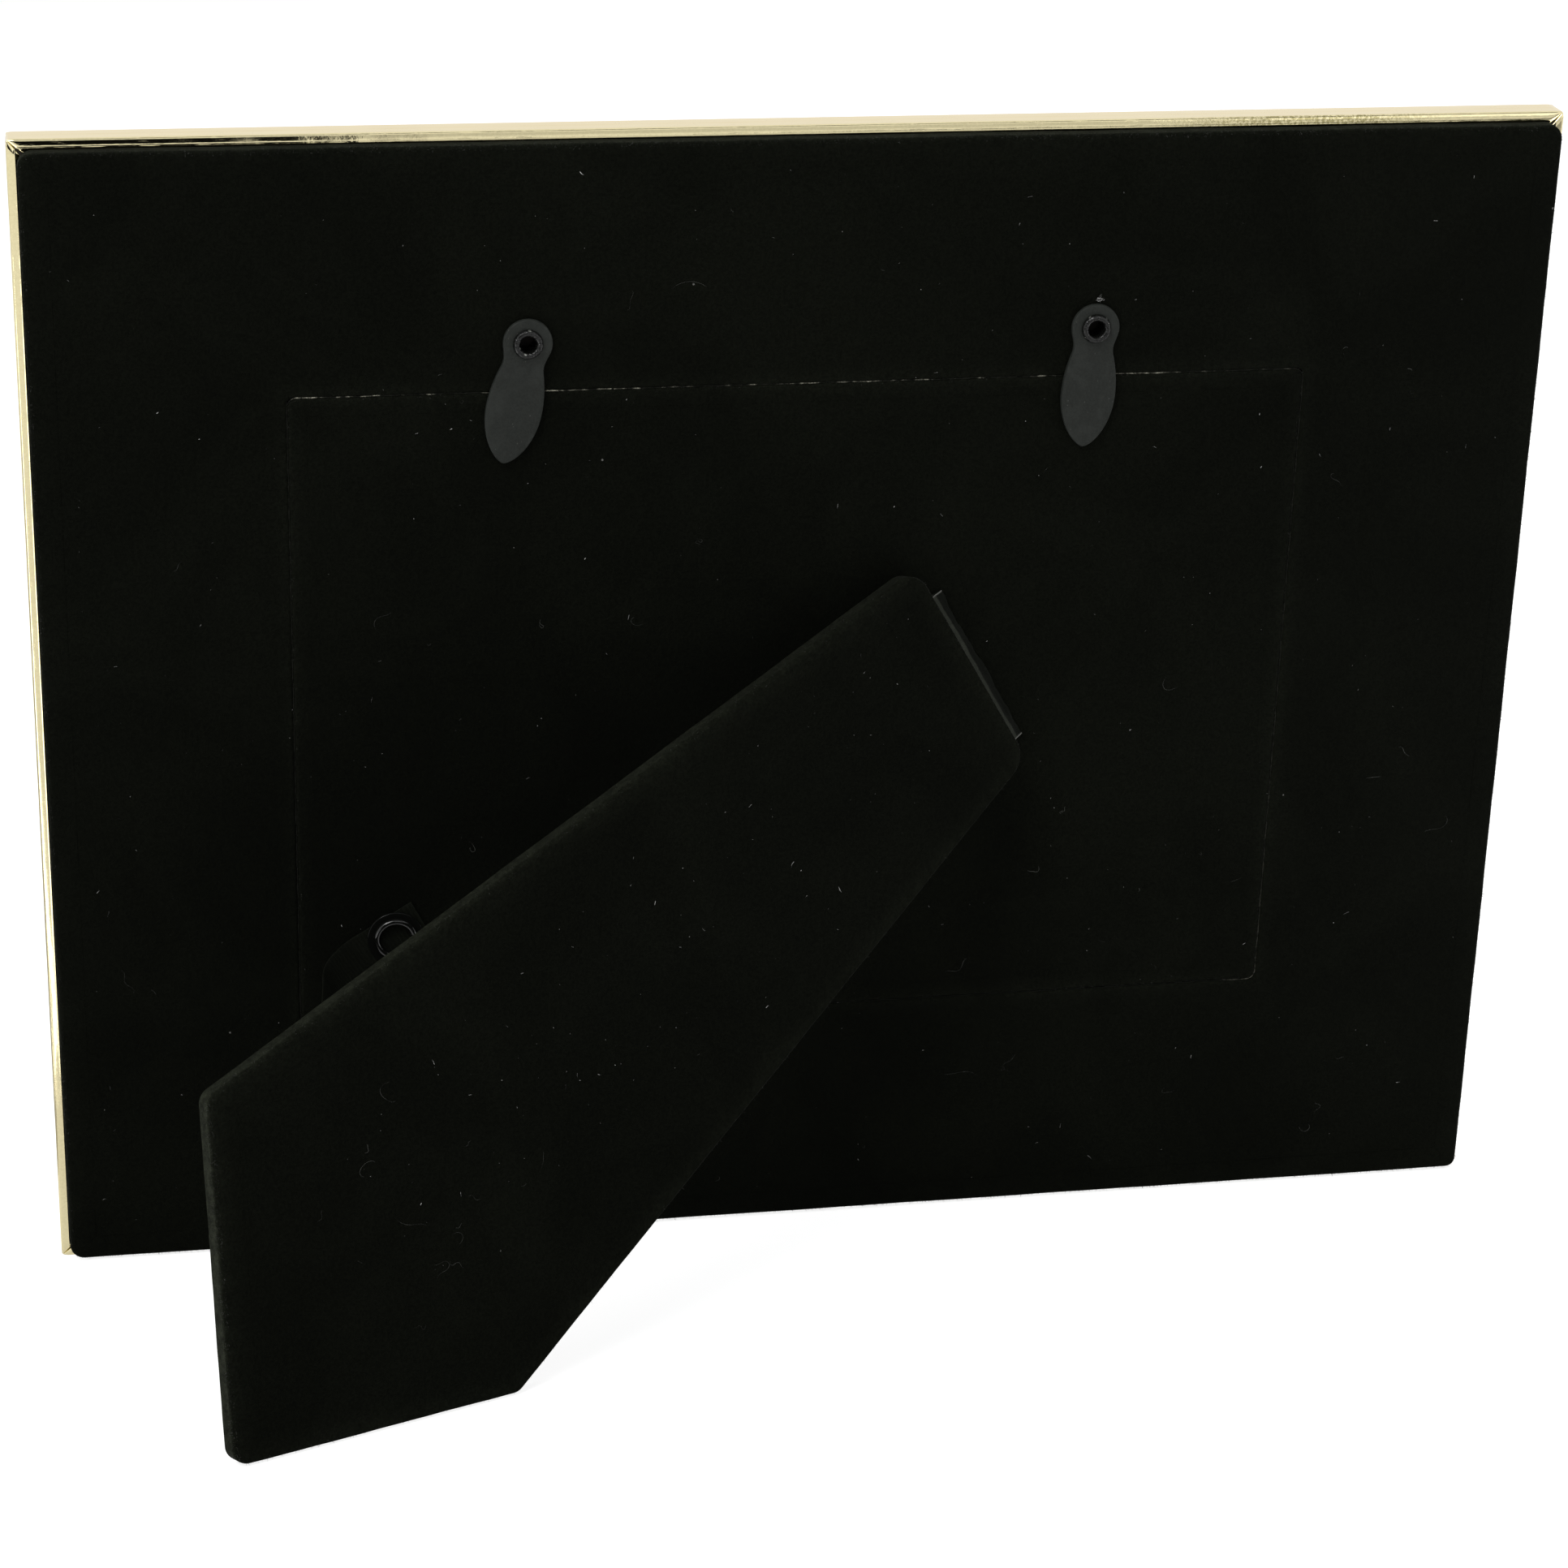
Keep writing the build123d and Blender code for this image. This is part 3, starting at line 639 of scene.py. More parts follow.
def gloss_black_material(name, gloss, worn, dents, polish):
    """Black lacquer on an eyelet: dented, worn to bare metal in a share of small nicks, and polished on its
    rolled rim."""
    material, tree, shader, place = start_material(name, Specular_IOR_Level=gloss, Coat_Roughness=0.08)
    rolled = lay_of(tree)[1][2]
    nick = place_group(tree, SPECKS, Place=place, Cells=1500.0, Size=0.24, Share=worn)["Mask"]
    feed(shader, Base_Color=tint(tree, nick, LACQUER_BLACK, LACQUER_NICK))
    feed(shader, Metallic=times(tree, nick, 0.8))
    feed(shader, Roughness=ramp(tree, smudges(tree, place, 420.0), 0.0, 1.0, 0.1, 0.3))
    feed(shader, Coat_Weight=ramp(tree, rolled, 0.1, 0.4, 0.0, polish))
    raise_surface(shader, noise(tree, place, 1900.0, 2.0), dents, 0.0002)
    return material


def leatherette_material():
    """Black leatherette: pebbled grain from Voronoi cells over slow creases, painted darker as shade on the
    fold's nose and paler as lit further from it, with a wavy painted highlight beside the leg and pale cut ends."""
    material, tree, shader, place = start_material("hinge_leatherette", Specular_IOR_Level=0.02)
    grain = put(tree, "ShaderNodeTexVoronoi", {"Vector": place, "Scale": 2300.0}, feature="SMOOTH_F1")
    pebbles = grain.outputs["Distance"]
    parts = lay_of(tree)[1]
    half = TAPE_WIDTH * MM / 2
    end = ramp(tree, maths(tree, "ABSOLUTE", parts[0]), half - TAPE_CUT, half)
    # Painted shade on the nose and a painted highlight streak beside the leg, broken up in patches
    wavy = plus(tree, parts[1], times(tree, noise(tree, place, 260.0, 2.0), 0.0006))
    worn = ramp(tree, smudges(tree, place, 260.0), 0.0, 1.0, 0.75, 1.0)
    rubbed = times(tree, ramp(tree, wavy, *TAPE_HIGHLIGHT_BAND), worn)
    plain = tint(tree, ramp(tree, wavy, *TAPE_SHADE_FADE), TAPE_SHADED, TAPE_LIT)
    feed(shader, Base_Color=tint(tree, end, tint(tree, rubbed, plain, TAPE_HIGHLIGHT), TAPE_CUT_END))
    feed(shader, Roughness=ramp(tree, pebbles, 0.1, 0.6, 0.3, 0.5))
    raise_surface(shader, plus(tree, pebbles, times(tree, noise(tree, place, 500.0), 1.5)), 0.5, 0.00012)
    return material


def ribbon_material():
    """Black corded ribbon: ribs across its width from a sine of the distance along it, under a fine
    pile."""
    material, tree, shader, place = start_material("ribbon_cord", Roughness=0.9, Specular_IOR_Level=0.0)
    along = lay_of(tree)[1][0]
    ribs = maths(tree, "SINE", times(tree, along, 2 * math.pi / RIB_SPACING))
    pile = place_group(tree, PILE, Place=place, Tufts=4200.0, Patches=120.0)
    shade = times(tree, pile["Tone"], ramp(tree, ribs, -1.0, 1.0, 0.0052, 0.0062))
    feed(shader, Base_Color=near_black(tree, shade, 1.12, 0.84))
    raise_surface(shader, plus(tree, ribs, times(tree, pile["Height"], 0.8)), 0.35, 0.00006)
    return material


def board_material(name, dark, light, gloss, fibres):
    """Pressed board or card: fine fibre noise between two tones, with smudges in the gloss."""
    material, tree, shader, place = start_material(name, Specular_IOR_Level=0.3)
    fibre = noise(tree, place, fibres, 5.0, 0.7, 0.6)
    feed(shader, Base_Color=tint(tree, ramp(tree, fibre, 0.3, 0.7), dark, light))
    feed(shader, Roughness=ramp(tree, smudges(tree, place, 60.0), 0.0, 1.0, gloss, gloss - 0.15))
    raise_surface(shader, fibre, 0.3, 0.0001)
    return material


def steel_material():
    """Bright pressed steel with drawn hairlines and oily smudges."""
    material, tree, shader, place = start_material("nail_steel", Metallic=1.0)
    drawn = put(tree, "ShaderNodeMapping", {"Vector": place, "Scale": (1.0, 1.0, 0.08)}).outputs[0]
    lines = noise(tree, drawn, 2500.0)
    feed(shader, Base_Color=tint(tree, smudges(tree, place, 140.0), STEEL_CLEAN, STEEL_OILY))
    feed(shader, Roughness=ramp(tree, lines, 0.3, 0.7, 0.22, 0.4))
    raise_surface(shader, lines, 0.2, 0.00005)
    return material


def glass_material():
    """Clear picture glass with a faint green tint and finger smudges in its gloss."""
    material, tree, shader, place = start_material("clear_glass", Transmission_Weight=1.0, IOR=1.5)
    smudge = smudges(tree, place, 26.0)
    feed(shader, Base_Color=tint(tree, smudge, GLASS_CLEAR, GLASS_SMUDGED))
    feed(shader, Roughness=times(tree, smudge, 0.05))
    return material


def print_material():
    """Blank photo paper: warm white with a fine stipple and the slightest clouding."""
    material, tree, shader, place = start_material("print_paper", Specular_IOR_Level=0.4)
    stipple = noise(tree, place, 2600.0, 2.0)
    cloud = noise(tree, place, 14.0)
    share = plus(tree, times(tree, cloud, 0.75), times(tree, stipple, 0.25))
    feed(shader, Base_Color=tint(tree, ramp(tree, share, 0.3, 0.7), PRINT_WARM, PRINT_PALE))
    feed(shader, Roughness=ramp(tree, stipple, 0.3, 0.7, 0.32, 0.46))
    raise_surface(shader, stipple, 0.15, 0.00004)
    return material


def fibre_material(name, dark, light):
    """Loose fibres and lint: a tone that changes from one fibre to the next along the surface."""
    material, tree, shader, place = start_material(name, Roughness=0.8, Specular_IOR_Level=0.2)
    tone = ramp(tree, noise(tree, place, 700.0, 2.0), 0.35, 0.65)
    feed(shader, Base_Color=tint(tree, tone, dark, light))
    return material


def backing_material():
    """Pale backing cloth seen in a seam: from the pile's near black to cream by how much of it shows,
    broken by fine threads across it."""
    material, tree, shader, place = start_material("seam_backing", Roughness=0.9, Specular_IOR_Level=0.05)
    shows = lay_of(tree)[1][2]
    threads = ramp(tree, noise(tree, place, 1500.0, 3.0, 0.7), 0.35, 0.62)
    share = times(tree, shows, threads, clamp=True)
    feed(shader, Base_Color=tint(tree, share, BACKING_HIDDEN, BACKING_CREAM))
    raise_surface(shader, threads, 0.4, 0.0001)
    return material


GOLD = gold_material()
# The last value is how strongly turned edges are lightened, pile and painted highlight; strongest on the leg
VELVET = black_velvet_material("black_velvet", 0.0026, 1.2)
LEG_VELVET = black_velvet_material("leg_velvet", 0.0025, 4.2)
PAINT = painted_grey_material()
LACQUER = gloss_black_material("eyelet_lacquer", 0.22, 0.16, 0.8, 0.22)
STAY_LACQUER = gloss_black_material("stay_lacquer", 0.0, 0.02, 0.06, 1.0)
LEATHERETTE = leatherette_material()
CORDED = ribbon_material()
BLACK_BOARD = board_material("black_board", BOARD_DARK, BOARD_LIGHT, 0.75, 1400.0)
# The core is painted near black as the shade seen down the eyelets' bores
FIBREBOARD = board_material("core_fibreboard", CORE_SHADE_DARK, CORE_SHADE_LIGHT, 0.85, 900.0)
GREY_CARD = board_material("pad_card", CARD_DARK, CARD_LIGHT, 0.85, 1100.0)
STEEL = steel_material()
GLASS = glass_material()
PRINT = print_material()
FUZZ = fibre_material("velvet_fuzz", FUZZ_DARK, FUZZ_LIGHT)
LINT_HAIR = fibre_material("lint_hair", HAIR_DARK, HAIR_LIGHT)
LINT = fibre_material("lint", LINT_DARK, LINT_LIGHT)
BACKING = backing_material()


# Gold moulding
def arc(centre_in, centre_depth, radius, start, end, steps):
    """Points of a circular arc in a rail's section, from a start angle to an end angle in degrees."""
    angle = np.radians(np.linspace(start, end, steps))
    return np.column_stack([centre_in + radius * np.cos(angle), centre_depth + radius * np.sin(angle)])


def run(start, end, steps):
    """Points of a straight run in a rail's section, both ends left out."""
    share = np.linspace(0, 1, steps + 2)[1:-1, None]
    return np.array(start) + (np.array(end) - np.array(start)) * share


def rail_section():
    """Outer skin of a rail as distance in from its edge and depth from its face: a flat back flange, a lip
    whose depth falls off as the square of the distance from its top, a bend that touches the lip and the
    side, the side, a bend, the face and the nose's bend."""
    lip_in = np.linspace(LIP_INNER, LIP_OUTER, 40)
    lip_depth = LIP_DEPTH - (lip_in - LIP_TOP) ** 2 / (2 * LIP_CROWN)
    lip = np.column_stack([lip_in, lip_depth])
    flange = run((RAIL_FLANGE, lip_depth[0]), lip[0], 4)
    tilt = math.atan((LIP_TOP - LIP_OUTER) / LIP_CROWN)
    radius = LIP_OUTER / (1 - math.sin(tilt))
    bend_depth = lip_depth[-1] - radius * math.cos(tilt)
    bend = arc(radius, bend_depth, radius, 90 + math.degrees(tilt), 180, 12)[1:]
    side = run((0, bend_depth), (0, FACE_BEND), 10)
    front_bend = arc(FACE_BEND, FACE_BEND, FACE_BEND, 180, 270, 9)
    face = run((FACE_BEND, 0), (RAIL_FACE - FACE_BEND, 0), 30)
    sight_bend = arc(RAIL_FACE - FACE_BEND, FACE_BEND, FACE_BEND, 270, 360, 9)
    nose = run((RAIL_FACE, FACE_BEND), (RAIL_FACE, RAIL_NOSE), 3)
    end = np.array([[RAIL_FACE, RAIL_NOSE]])
    return np.concatenate([flange, lip, bend, side, front_bend, face, sight_bend, nose, end])


def gold_rail(side, along, inward, length, across, phase, bead_start, bead_end, painted_reflection=None):
    """A rail carried along its side with mitred ends: each section point runs as far as the mitre at its
    distance in. Near a mitre the skin draws in along its normal as a quarter circle, the lip wanders a few
    hundredths, and beside the velvet it rises in a bead, a bell curve of the distance in, whose height goes
    from one share to another along it. A middle and a half length say where a darker reflection is painted
    on its lip, which goes into its pattern place."""
    skin = rail_section()
    skin_in, skin_depth = skin.T
    tangent = unit(np.gradient(skin, axis=0))
    normal = np.column_stack([tangent[:, 1], -tangent[:, 0]])
    half_length = length / 2
    even = np.linspace(1 - FIRST_EVEN_STATION / half_length, 0, EVEN_STATIONS)
    half = np.concatenate([1 - np.array(MITRE_STATIONS) / half_length, even])
    share = np.concatenate([-half, half[::-1][1:]])[:, None]
    reach = half_length - skin_in - MITRE_GAP
    x = share * reach
    near = np.clip(1 - (1 - np.abs(share)) * reach / MITRE_EASE_WIDTH, 0, 1)
    behind = np.clip((skin_depth - MITRE_EASE_FROM) / MITRE_EASE_OVER, MITRE_EASE_LEAST, 1)
    ease = MITRE_EASE_DEPTH * behind * (1 - np.sqrt(1 - near**2))
    on_lip = skin_depth > RAIL_DEPTH / 2
    sink = (ripple(x + phase, LIP_WANDER) + LIP_SINK) * (bell(skin_in, LIP_TOP, LIP_SPREAD) * on_lip)
    height = BEAD_RISE * (bead_start + (bead_end - bead_start) * (share + 1) / 2)
    jagged = BEAD_EVEN_SHARE + ripple(x + phase, BEAD_JAGS)
    drawn = ease + sink - height * jagged * (bell(skin_in, BEAD_IN, BEAD_HALF) * on_lip)
    walls = [skin - normal * (drawn + inside)[..., None] for inside in (0, METAL)]
    section = np.concatenate([walls[0], walls[1][:, ::-1]], axis=1)
    x = np.concatenate([x, x[:, ::-1]], axis=1)
    rise = section[..., 0] - across / 2
    points = on_back(x * along[0] + rise * inward[0], x * along[1] + rise * inward[1], section[..., 1])
    around = np.cumsum(np.linalg.norm(np.gradient(skin, axis=0), axis=1)) * MM
    lay = np.stack([x * MM, np.broadcast_to(np.concatenate([around, around[::-1]]), x.shape)], axis=-1)
    count = len(skin)
    caps = []
    for end, step in ((points[0], 1), (points[-1], -1)):
        strip = np.stack([end[:count], end[: count - 1 : -1]], axis=0)
        caps.append(patch(strip[:, ::step]))
    # Painted dark reflection: strongest at its middle, fading over its half length
    marks = np.zeros(x.shape)
    if painted_reflection is not None:
        marks = np.clip(DARK_REFLECTION_STEEP - DARK_REFLECTION_STEEP * np.abs(x - painted_reflection[0]) / painted_reflection[1], 0, 1)
    skins = patch(points, wrap_v=True, lay=lay, turned=marks)
    piece(f"gold_{side}", [skins] + caps, GOLD, "frame", (f"rail_{side}",), 50.0)


gold_rail("bottom", (1, 0), (0, 1), FRAME_WIDTH, FRAME_HEIGHT, 3.0, 0.8, 0.5)
gold_rail("right", (0, 1), (-1, 0), FRAME_HEIGHT, FRAME_WIDTH, 41.0, 0.6, 0.3)
# The top rail's lip gets a painted dark reflection 74 mm right of the middle
gold_rail("top", (-1, 0), (0, -1), FRAME_WIDTH, FRAME_HEIGHT, 17.0, 0.1, 1.0, (-74.0, 22.0))
gold_rail("left", (0, -1), (1, 0), FRAME_HEIGHT, FRAME_WIDTH, 77.0, 1.0, 0.8)


# Velvet
def outline(corners, rounds, inset=0.0, side_steps=60):
    """Closed outline of a convex polygon, counter-clockwise, drawn in by an inset: each side moves in along
    its normal, neighbours cross again, and a corner's arc has its radius less the inset. Arcs are spaced by
    angle, sides by length."""
    corners = np.asarray(corners, float)
    sides = unit(np.roll(corners, -1, axis=0) - corners)
    inward = np.column_stack([-sides[:, 1], sides[:, 0]])
    before = np.roll(inward, 1, axis=0)
    spread = (before + inward) / (1 + (before * inward).sum(axis=1))[:, None]
    radius = np.maximum(np.asarray(rounds, float) - inset, SHARPEST_CORNER)
    centre = corners + spread * (inset + radius)[:, None]
    start = np.arctan2(-before[:, 1], -before[:, 0])
    turn = np.mod(np.arctan2(-inward[:, 1], -inward[:, 0]) - start, 2 * math.pi)
    angle = start[:, None] + turn[:, None] * np.linspace(0, 1, 11)
    arcs = centre[:, None] + radius[:, None, None] * np.stack([np.cos(angle), np.sin(angle)], axis=-1)
    first = arcs[:, -1]
    last = np.roll(arcs[:, 0], -1, axis=0)
    share = np.linspace(0, 1, side_steps + 2)[1:-1]
    runs = first[:, None] + (last - first)[:, None] * share[None, :, None]
    return np.concatenate([arcs, runs], axis=1).reshape(-1, 2)


def rectangle(width, height, over_right=0.0, over_bottom=0.0):
    """Corners of a rectangle about the frame's centre, counter-clockwise from the lower left, with its
    right side moved out to the right and its bottom side moved down."""
    corners = np.array([(-width, -height), (width, -height), (width, height), (-width, height)]) / 2
    return corners + np.array([(0, -over_bottom), (over_right, -over_bottom), (over_right, 0), (0, 0)])


def turned_edge(rows, corners, rounds, place, wander):
    """A cloth edge as rows of one outline: each row has its own inset and depth, so the cloth climbs the
    edge, rolls over it and lies on the face. The rows on the edge wander sideways by sine waves of the
    distance round."""
    inset, depth = np.array(rows).T
    loops = np.stack([outline(corners, rounds, row) for row in inset], axis=1)
    round_it = np.cumsum(np.linalg.norm(np.diff(loops[:, 0], axis=0, prepend=loops[:1, 0]), axis=1))
    tangent = unit(np.roll(loops, -1, axis=0) - np.roll(loops, 1, axis=0))
    fade = np.clip(1 - inset / EDGE_WAVES_REACH, 0, 1) * wander
    shift = ripple(round_it, EDGE_WAVES)[:, None] * fade[None, :]
    moved = loops + np.stack([-tangent[..., 1], tangent[..., 0]], axis=-1) * (shift + wander)[..., None]
    return place(moved[..., 0], moved[..., 1], depth)


def rolled_rows(foot, face, radius, reach, climb=4, puff=0.0):
    """Rows of a turned edge: up its side, round a quarter circle and in over the face as far as a reach. A
    puff pushes the start of the bend outwards, fading to nothing at the foot and on the face."""
    share = np.linspace(0, 1, climb, endpoint=False)
    side = [(-puff * s, foot + (face - radius - foot) * s) for s in share]
    angle = np.linspace(0, math.pi / 2, 8)
    bend = [(radius - (radius + puff) * math.cos(a), face - radius + radius * math.sin(a)) for a in angle]
    return side + bend + [(radius + (reach - radius) * s, face) for s in FACE_ROWS]


def turn_share(rows, face, radius, reach):
    """How far each row of a turned edge has turned: all the way on the side, less round the bend, and a
    trace that fades out over the face. The velvet is lightened by this share, partly for its pile and
    partly as a painted highlight along its edges."""
    inset, depth = np.array(rows).T
    trace = TURN_TRACE * np.clip(1 - inset / reach, 0, 1) ** 1.5
    return np.maximum(np.clip((face - depth) / radius, 0, 1) ** 1.3, trace)


def facing_share(edge, lit_side):
    """How far each stretch of a turned edge faces a side: its own outward direction against that side's,
    eased. On the leg the side is the one towards the lamps, and the share sets its walls' painted highlight."""
    outward = unit(edge[:, 0] - edge[:, -1])
    return np.clip((outward @ unit(lit_side) - LIT_FROM) / LIT_OVER, LIT_LEAST, 1)


def flat_cell(left, right, low, high):
    """A plain rectangle of the back's cloth as a small grid."""
    x, y = np.meshgrid(np.linspace(left, right, 9), np.linspace(low, high, 9), indexing="ij")
    return patch(on_back(x, y, VELVET_FACE))


def holed_cell(centre, half, hole):
    """A square of the back's cloth with a round hole: rays from the hole's edge out to the square, at equal
    angles."""
    angle = np.linspace(0, 2 * math.pi, 64, endpoint=False)
    direction = np.column_stack([np.cos(angle), np.sin(angle)])
    edge = half / np.abs(direction).max(axis=1)
    reach = hole + (edge - hole)[:, None] * np.linspace(1, 0, 5)[None, :]
    x = centre[0] + direction[:, :1] * reach
    y = centre[1] + direction[:, 1:] * reach
    return patch(on_back(x, y, VELVET_FACE), wrap_u=True)


def cells_round(left, right, low, high, holes, half, hole):
    """A band of the back's cloth with holes in one row: a plain strip above and below the row, and cells
    between the holes."""
    row = holes[0][1]
    cells = [flat_cell(left, right, row + half, high)]
    if row - half > low + 0.01:
        cells.append(flat_cell(left, right, low, row - half))
    start = left
    for centre in sorted(holes):
        cells.append(flat_cell(start, centre[0] - half, row - half, row + half))
        cells.append(holed_cell(centre, half, hole))
        start = centre[0] + half
    cells.append(flat_cell(start, right, row - half, row + half))
    return cells


# The edges that turn down into the door's seam, and how far each row has turned, raised to paint light on their
# shaded walls
seam_rows = rolled_rows(SEAM_FOOT, VELVET_FACE, SEAM_ROUND, WINDOW_REACH, puff=SEAM_PUFF)
seam_turn = SEAM_PAINTED_LIGHT * turn_share(seam_rows, VELVET_FACE, SEAM_ROUND, WINDOW_REACH)
door_corners = rectangle(DOOR_WIDTH, DOOR_HEIGHT, -DOOR_SHORT)


def back_velvet():
    """Velvet on the back board: its edge turned over the board, its edge turned into the window, and flat
    cells between. Returns the outer edge."""
    rows = rolled_rows(VELVET_FOOT, VELVET_FACE, BACK_ROUND, BACK_REACH)
    board = rectangle(BACK_WIDTH, BACK_HEIGHT, CLOTH_OVER_RIGHT, CLOTH_OVER_BOTTOM)
    outer = turned_edge(rows, board, BACK_CORNERS, on_back, BACK_WANDER)
    # The turn share paints a highlight along the back's outer edge
    outer_turn = turn_share(rows, VELVET_FACE, BACK_ROUND, BACK_REACH)
    window_corners = rectangle(WINDOW_WIDTH, WINDOW_HEIGHT, -DOOR_SHORT)
    loops = []
    for inset, depth in seam_rows:
        rounding = DOOR_CORNER if inset < SEAM_ROUND + 0.01 else WINDOW_FACE_CORNER - inset
        loops.append(on_back(*outline(window_corners, [rounding] * 4, -inset).T, depth))
    window = np.stack(loops, axis=1)[::-1]
    left = BACK_WIDTH / 2 - BACK_REACH
    right = left + CLOTH_OVER_RIGHT
    top = BACK_HEIGHT / 2 - BACK_REACH
    low = top + CLOTH_OVER_BOTTOM
    inner_left = WINDOW_WIDTH / 2 + WINDOW_REACH
    inner_right = inner_left - DOOR_SHORT
    inner_top = WINDOW_HEIGHT / 2 + WINDOW_REACH
    holes = [(place, BUTTON_UP) for place in BUTTON_PLACES.values()]
    cells = cells_round(-left, right, inner_top, top, holes, BUTTON_UP - inner_top, BUTTON_HOLE)
    cells.append(flat_cell(-left, right, -low, -inner_top))
    cells.append(flat_cell(-left, -inner_left, -inner_top, inner_top))
    cells.append(flat_cell(inner_right, right, -inner_top, inner_top))
    edges = [patch(outer, wrap_u=True, turned=outer_turn), patch(window, wrap_u=True, turned=seam_turn)]
    made = piece("velvet_back", edges + cells, VELVET, "frame", ("back_velvet",), 60.0)
    return outer


def stay_place():
    """Where the stay eyelet's middle is on the back: along the folded leg from the hinge, then across
    it."""
    slant = math.radians(LEG_SLANT)
    hinge = (HINGE - CENTRE) / MM
    right = hinge @ RIGHT - STAY_ALONG * math.cos(slant) + STAY_SIDE * math.sin(slant)
    up = hinge @ UP - STAY_ALONG * math.sin(slant) - STAY_SIDE * math.cos(slant)
    return right, up


def door_velvet():
    """Velvet on the door: its edge turned down into the seam, and flat cells round the stay eyelet's hole.
    Returns its edge."""
    edge = turned_edge(seam_rows, door_corners, [DOOR_CORNER] * 4, on_back, DOOR_WANDER)
    left = DOOR_WIDTH / 2 - WINDOW_REACH
    top = DOOR_HEIGHT / 2 - WINDOW_REACH
    half = STAY_HEAD + STAY_CELL_ROOM
    hole = STAY_BARREL + STAY_HOLE_ROOM
    cells = cells_round(-left, left - DOOR_SHORT, -top, top, [stay_place()], half, hole)
    patches = [patch(edge, wrap_u=True, turned=seam_turn)] + cells
    made = piece("velvet_door", patches, VELVET, "frame", ("door_velvet",), 60.0)
    return edge


def leg_velvet():
    """Velvet on the leg: its edge turned over the board all round, with a painted highlight on the walls that
    face the lamps, towards its foot and the upper left, and one flat face. Returns its edge and how far each
    stretch of it faces the lamps."""
    rows = rolled_rows(LEG_INNER, LEG_OUTER, BACK_ROUND, LEG_REACH, 5)
    edge = turned_edge(rows, LEG_CORNERS, LEG_CORNER_ROUNDS, on_leg, LEG_WANDER)
    share = turn_share(rows, LEG_OUTER, BACK_ROUND, LEG_REACH)
    # Painted highlight: walls facing the lamps are lightened fully, the other walls keep only the trace
    worn = facing_share(edge, LEG_LIT_SIDE)
    turned = np.maximum(worn[:, None] * share[None, :], np.minimum(share, TURN_TRACE))
    patches = [patch(edge, wrap_u=True, turned=turned), fan(edge[:, -1])]
    made = piece("velvet_leg", patches, LEG_VELVET, "leg", ("leg_velvet",), 60.0)
    loop = outline(LEG_CORNERS, LEG_CORNER_ROUNDS)
    return edge, worn


back_edge = back_velvet()
door_edge = door_velvet()
leg_edge, leg_lit = leg_velvet()


# Turn buttons and eyelets
def soft_larger(a, b, blend):
    """The larger of two lengths, eased where they are within a blend of each other."""
    near = np.maximum(blend - np.abs(a - b), 0) / blend
    return np.maximum(a, b) + near**2 * blend / 4


def button_reach(angle):
    """Distance from the head's centre to a button's outline in a direction: the last of many steps outward
    that still lies inside the head's circle or the leaf, the two eased into each other at the waist. The
    leaf's half width falls as the square of the distance above its middle, and below it as one less the
    square, to a power, to a blunt tip."""
    reach = np.linspace(BUTTON_HOLE, BUTTON_LENGTH + 0.5, 2400)
    down = -np.sin(angle)[:, None] * reach
    side = np.abs(np.cos(angle))[:, None] * reach
    above = ((BLADE_MIDDLE - down) / (BLADE_MIDDLE - BLADE_ROOT)).clip(0) ** 2
    below = ((down - BLADE_MIDDLE) / (BUTTON_LENGTH - BLADE_MIDDLE)).clip(0, 1) ** 2
    waisted = BLADE_HALF_WIDTH - (BLADE_HALF_WIDTH - BLADE_ROOT_HALF_WIDTH) * above
    in_leaf = np.minimum.reduce([waisted * (1 - below) ** BLADE_FULLNESS - side, BUTTON_LENGTH - down, down])
    inside = soft_larger(BUTTON_HEAD - reach, in_leaf, WAIST_EASE)
    last = len(reach) - 2 - np.argmax(inside[:, -2::-1] >= 0, axis=1)
    rays = np.arange(len(angle))
    here = inside[rays, last]
    beyond = inside[rays, last + 1]
    return reach[last] + (reach[1] - reach[0]) * here / (here - beyond)


def turn_button(side, right):
    """A turn button as rays from its eyelet hole to its outline, each carrying one section: the hole's
    wall, a face that swells by a few hundredths, a rounded edge and the underside. Rays crowd towards the
    tip, where the outline bends."""
    share = np.linspace(-1, 1, 320, endpoint=False)
    angle = -math.pi / 2 + math.pi * (0.25 * share + 0.75 * share**3)
    thick = BUTTON_TOP - BUTTON_BASE
    bend = np.linspace(0, math.pi / 2, 7)
    outward = np.concatenate([np.linspace(0, 1, 9)[:-1], np.ones(7), [1.0, 0.0]])
    to_edge = np.linspace(0, BUTTON_EDGE, 9)[:-1]
    step_in = np.concatenate([to_edge, BUTTON_EDGE - BUTTON_EDGE * np.sin(bend), [0.0, 0.0]])
    drop = np.concatenate([np.zeros(8), BUTTON_EDGE - BUTTON_EDGE * np.cos(bend), [thick, thick]])
    distance = BUTTON_HOLE + (button_reach(angle) - BUTTON_HOLE)[:, None] * outward - step_in
    swell = BUTTON_SWELL * np.sin(math.pi * np.clip(outward, 0, 1)) * (drop == 0)
    turn = math.radians(BUTTON_TURNS[side])
    x = distance * np.cos(angle + turn)[:, None] + right
    y = distance * np.sin(angle + turn)[:, None] + BUTTON_UP
    plate = patch(on_back(x, y, BUTTON_TOP - drop + swell - BUTTON_SWELL), True, True)
    stands_for = (f"turn_button_{side}",)
    piece(f"button_{side}", [plate], PAINT, f"{side}_button", stands_for, 50.0)


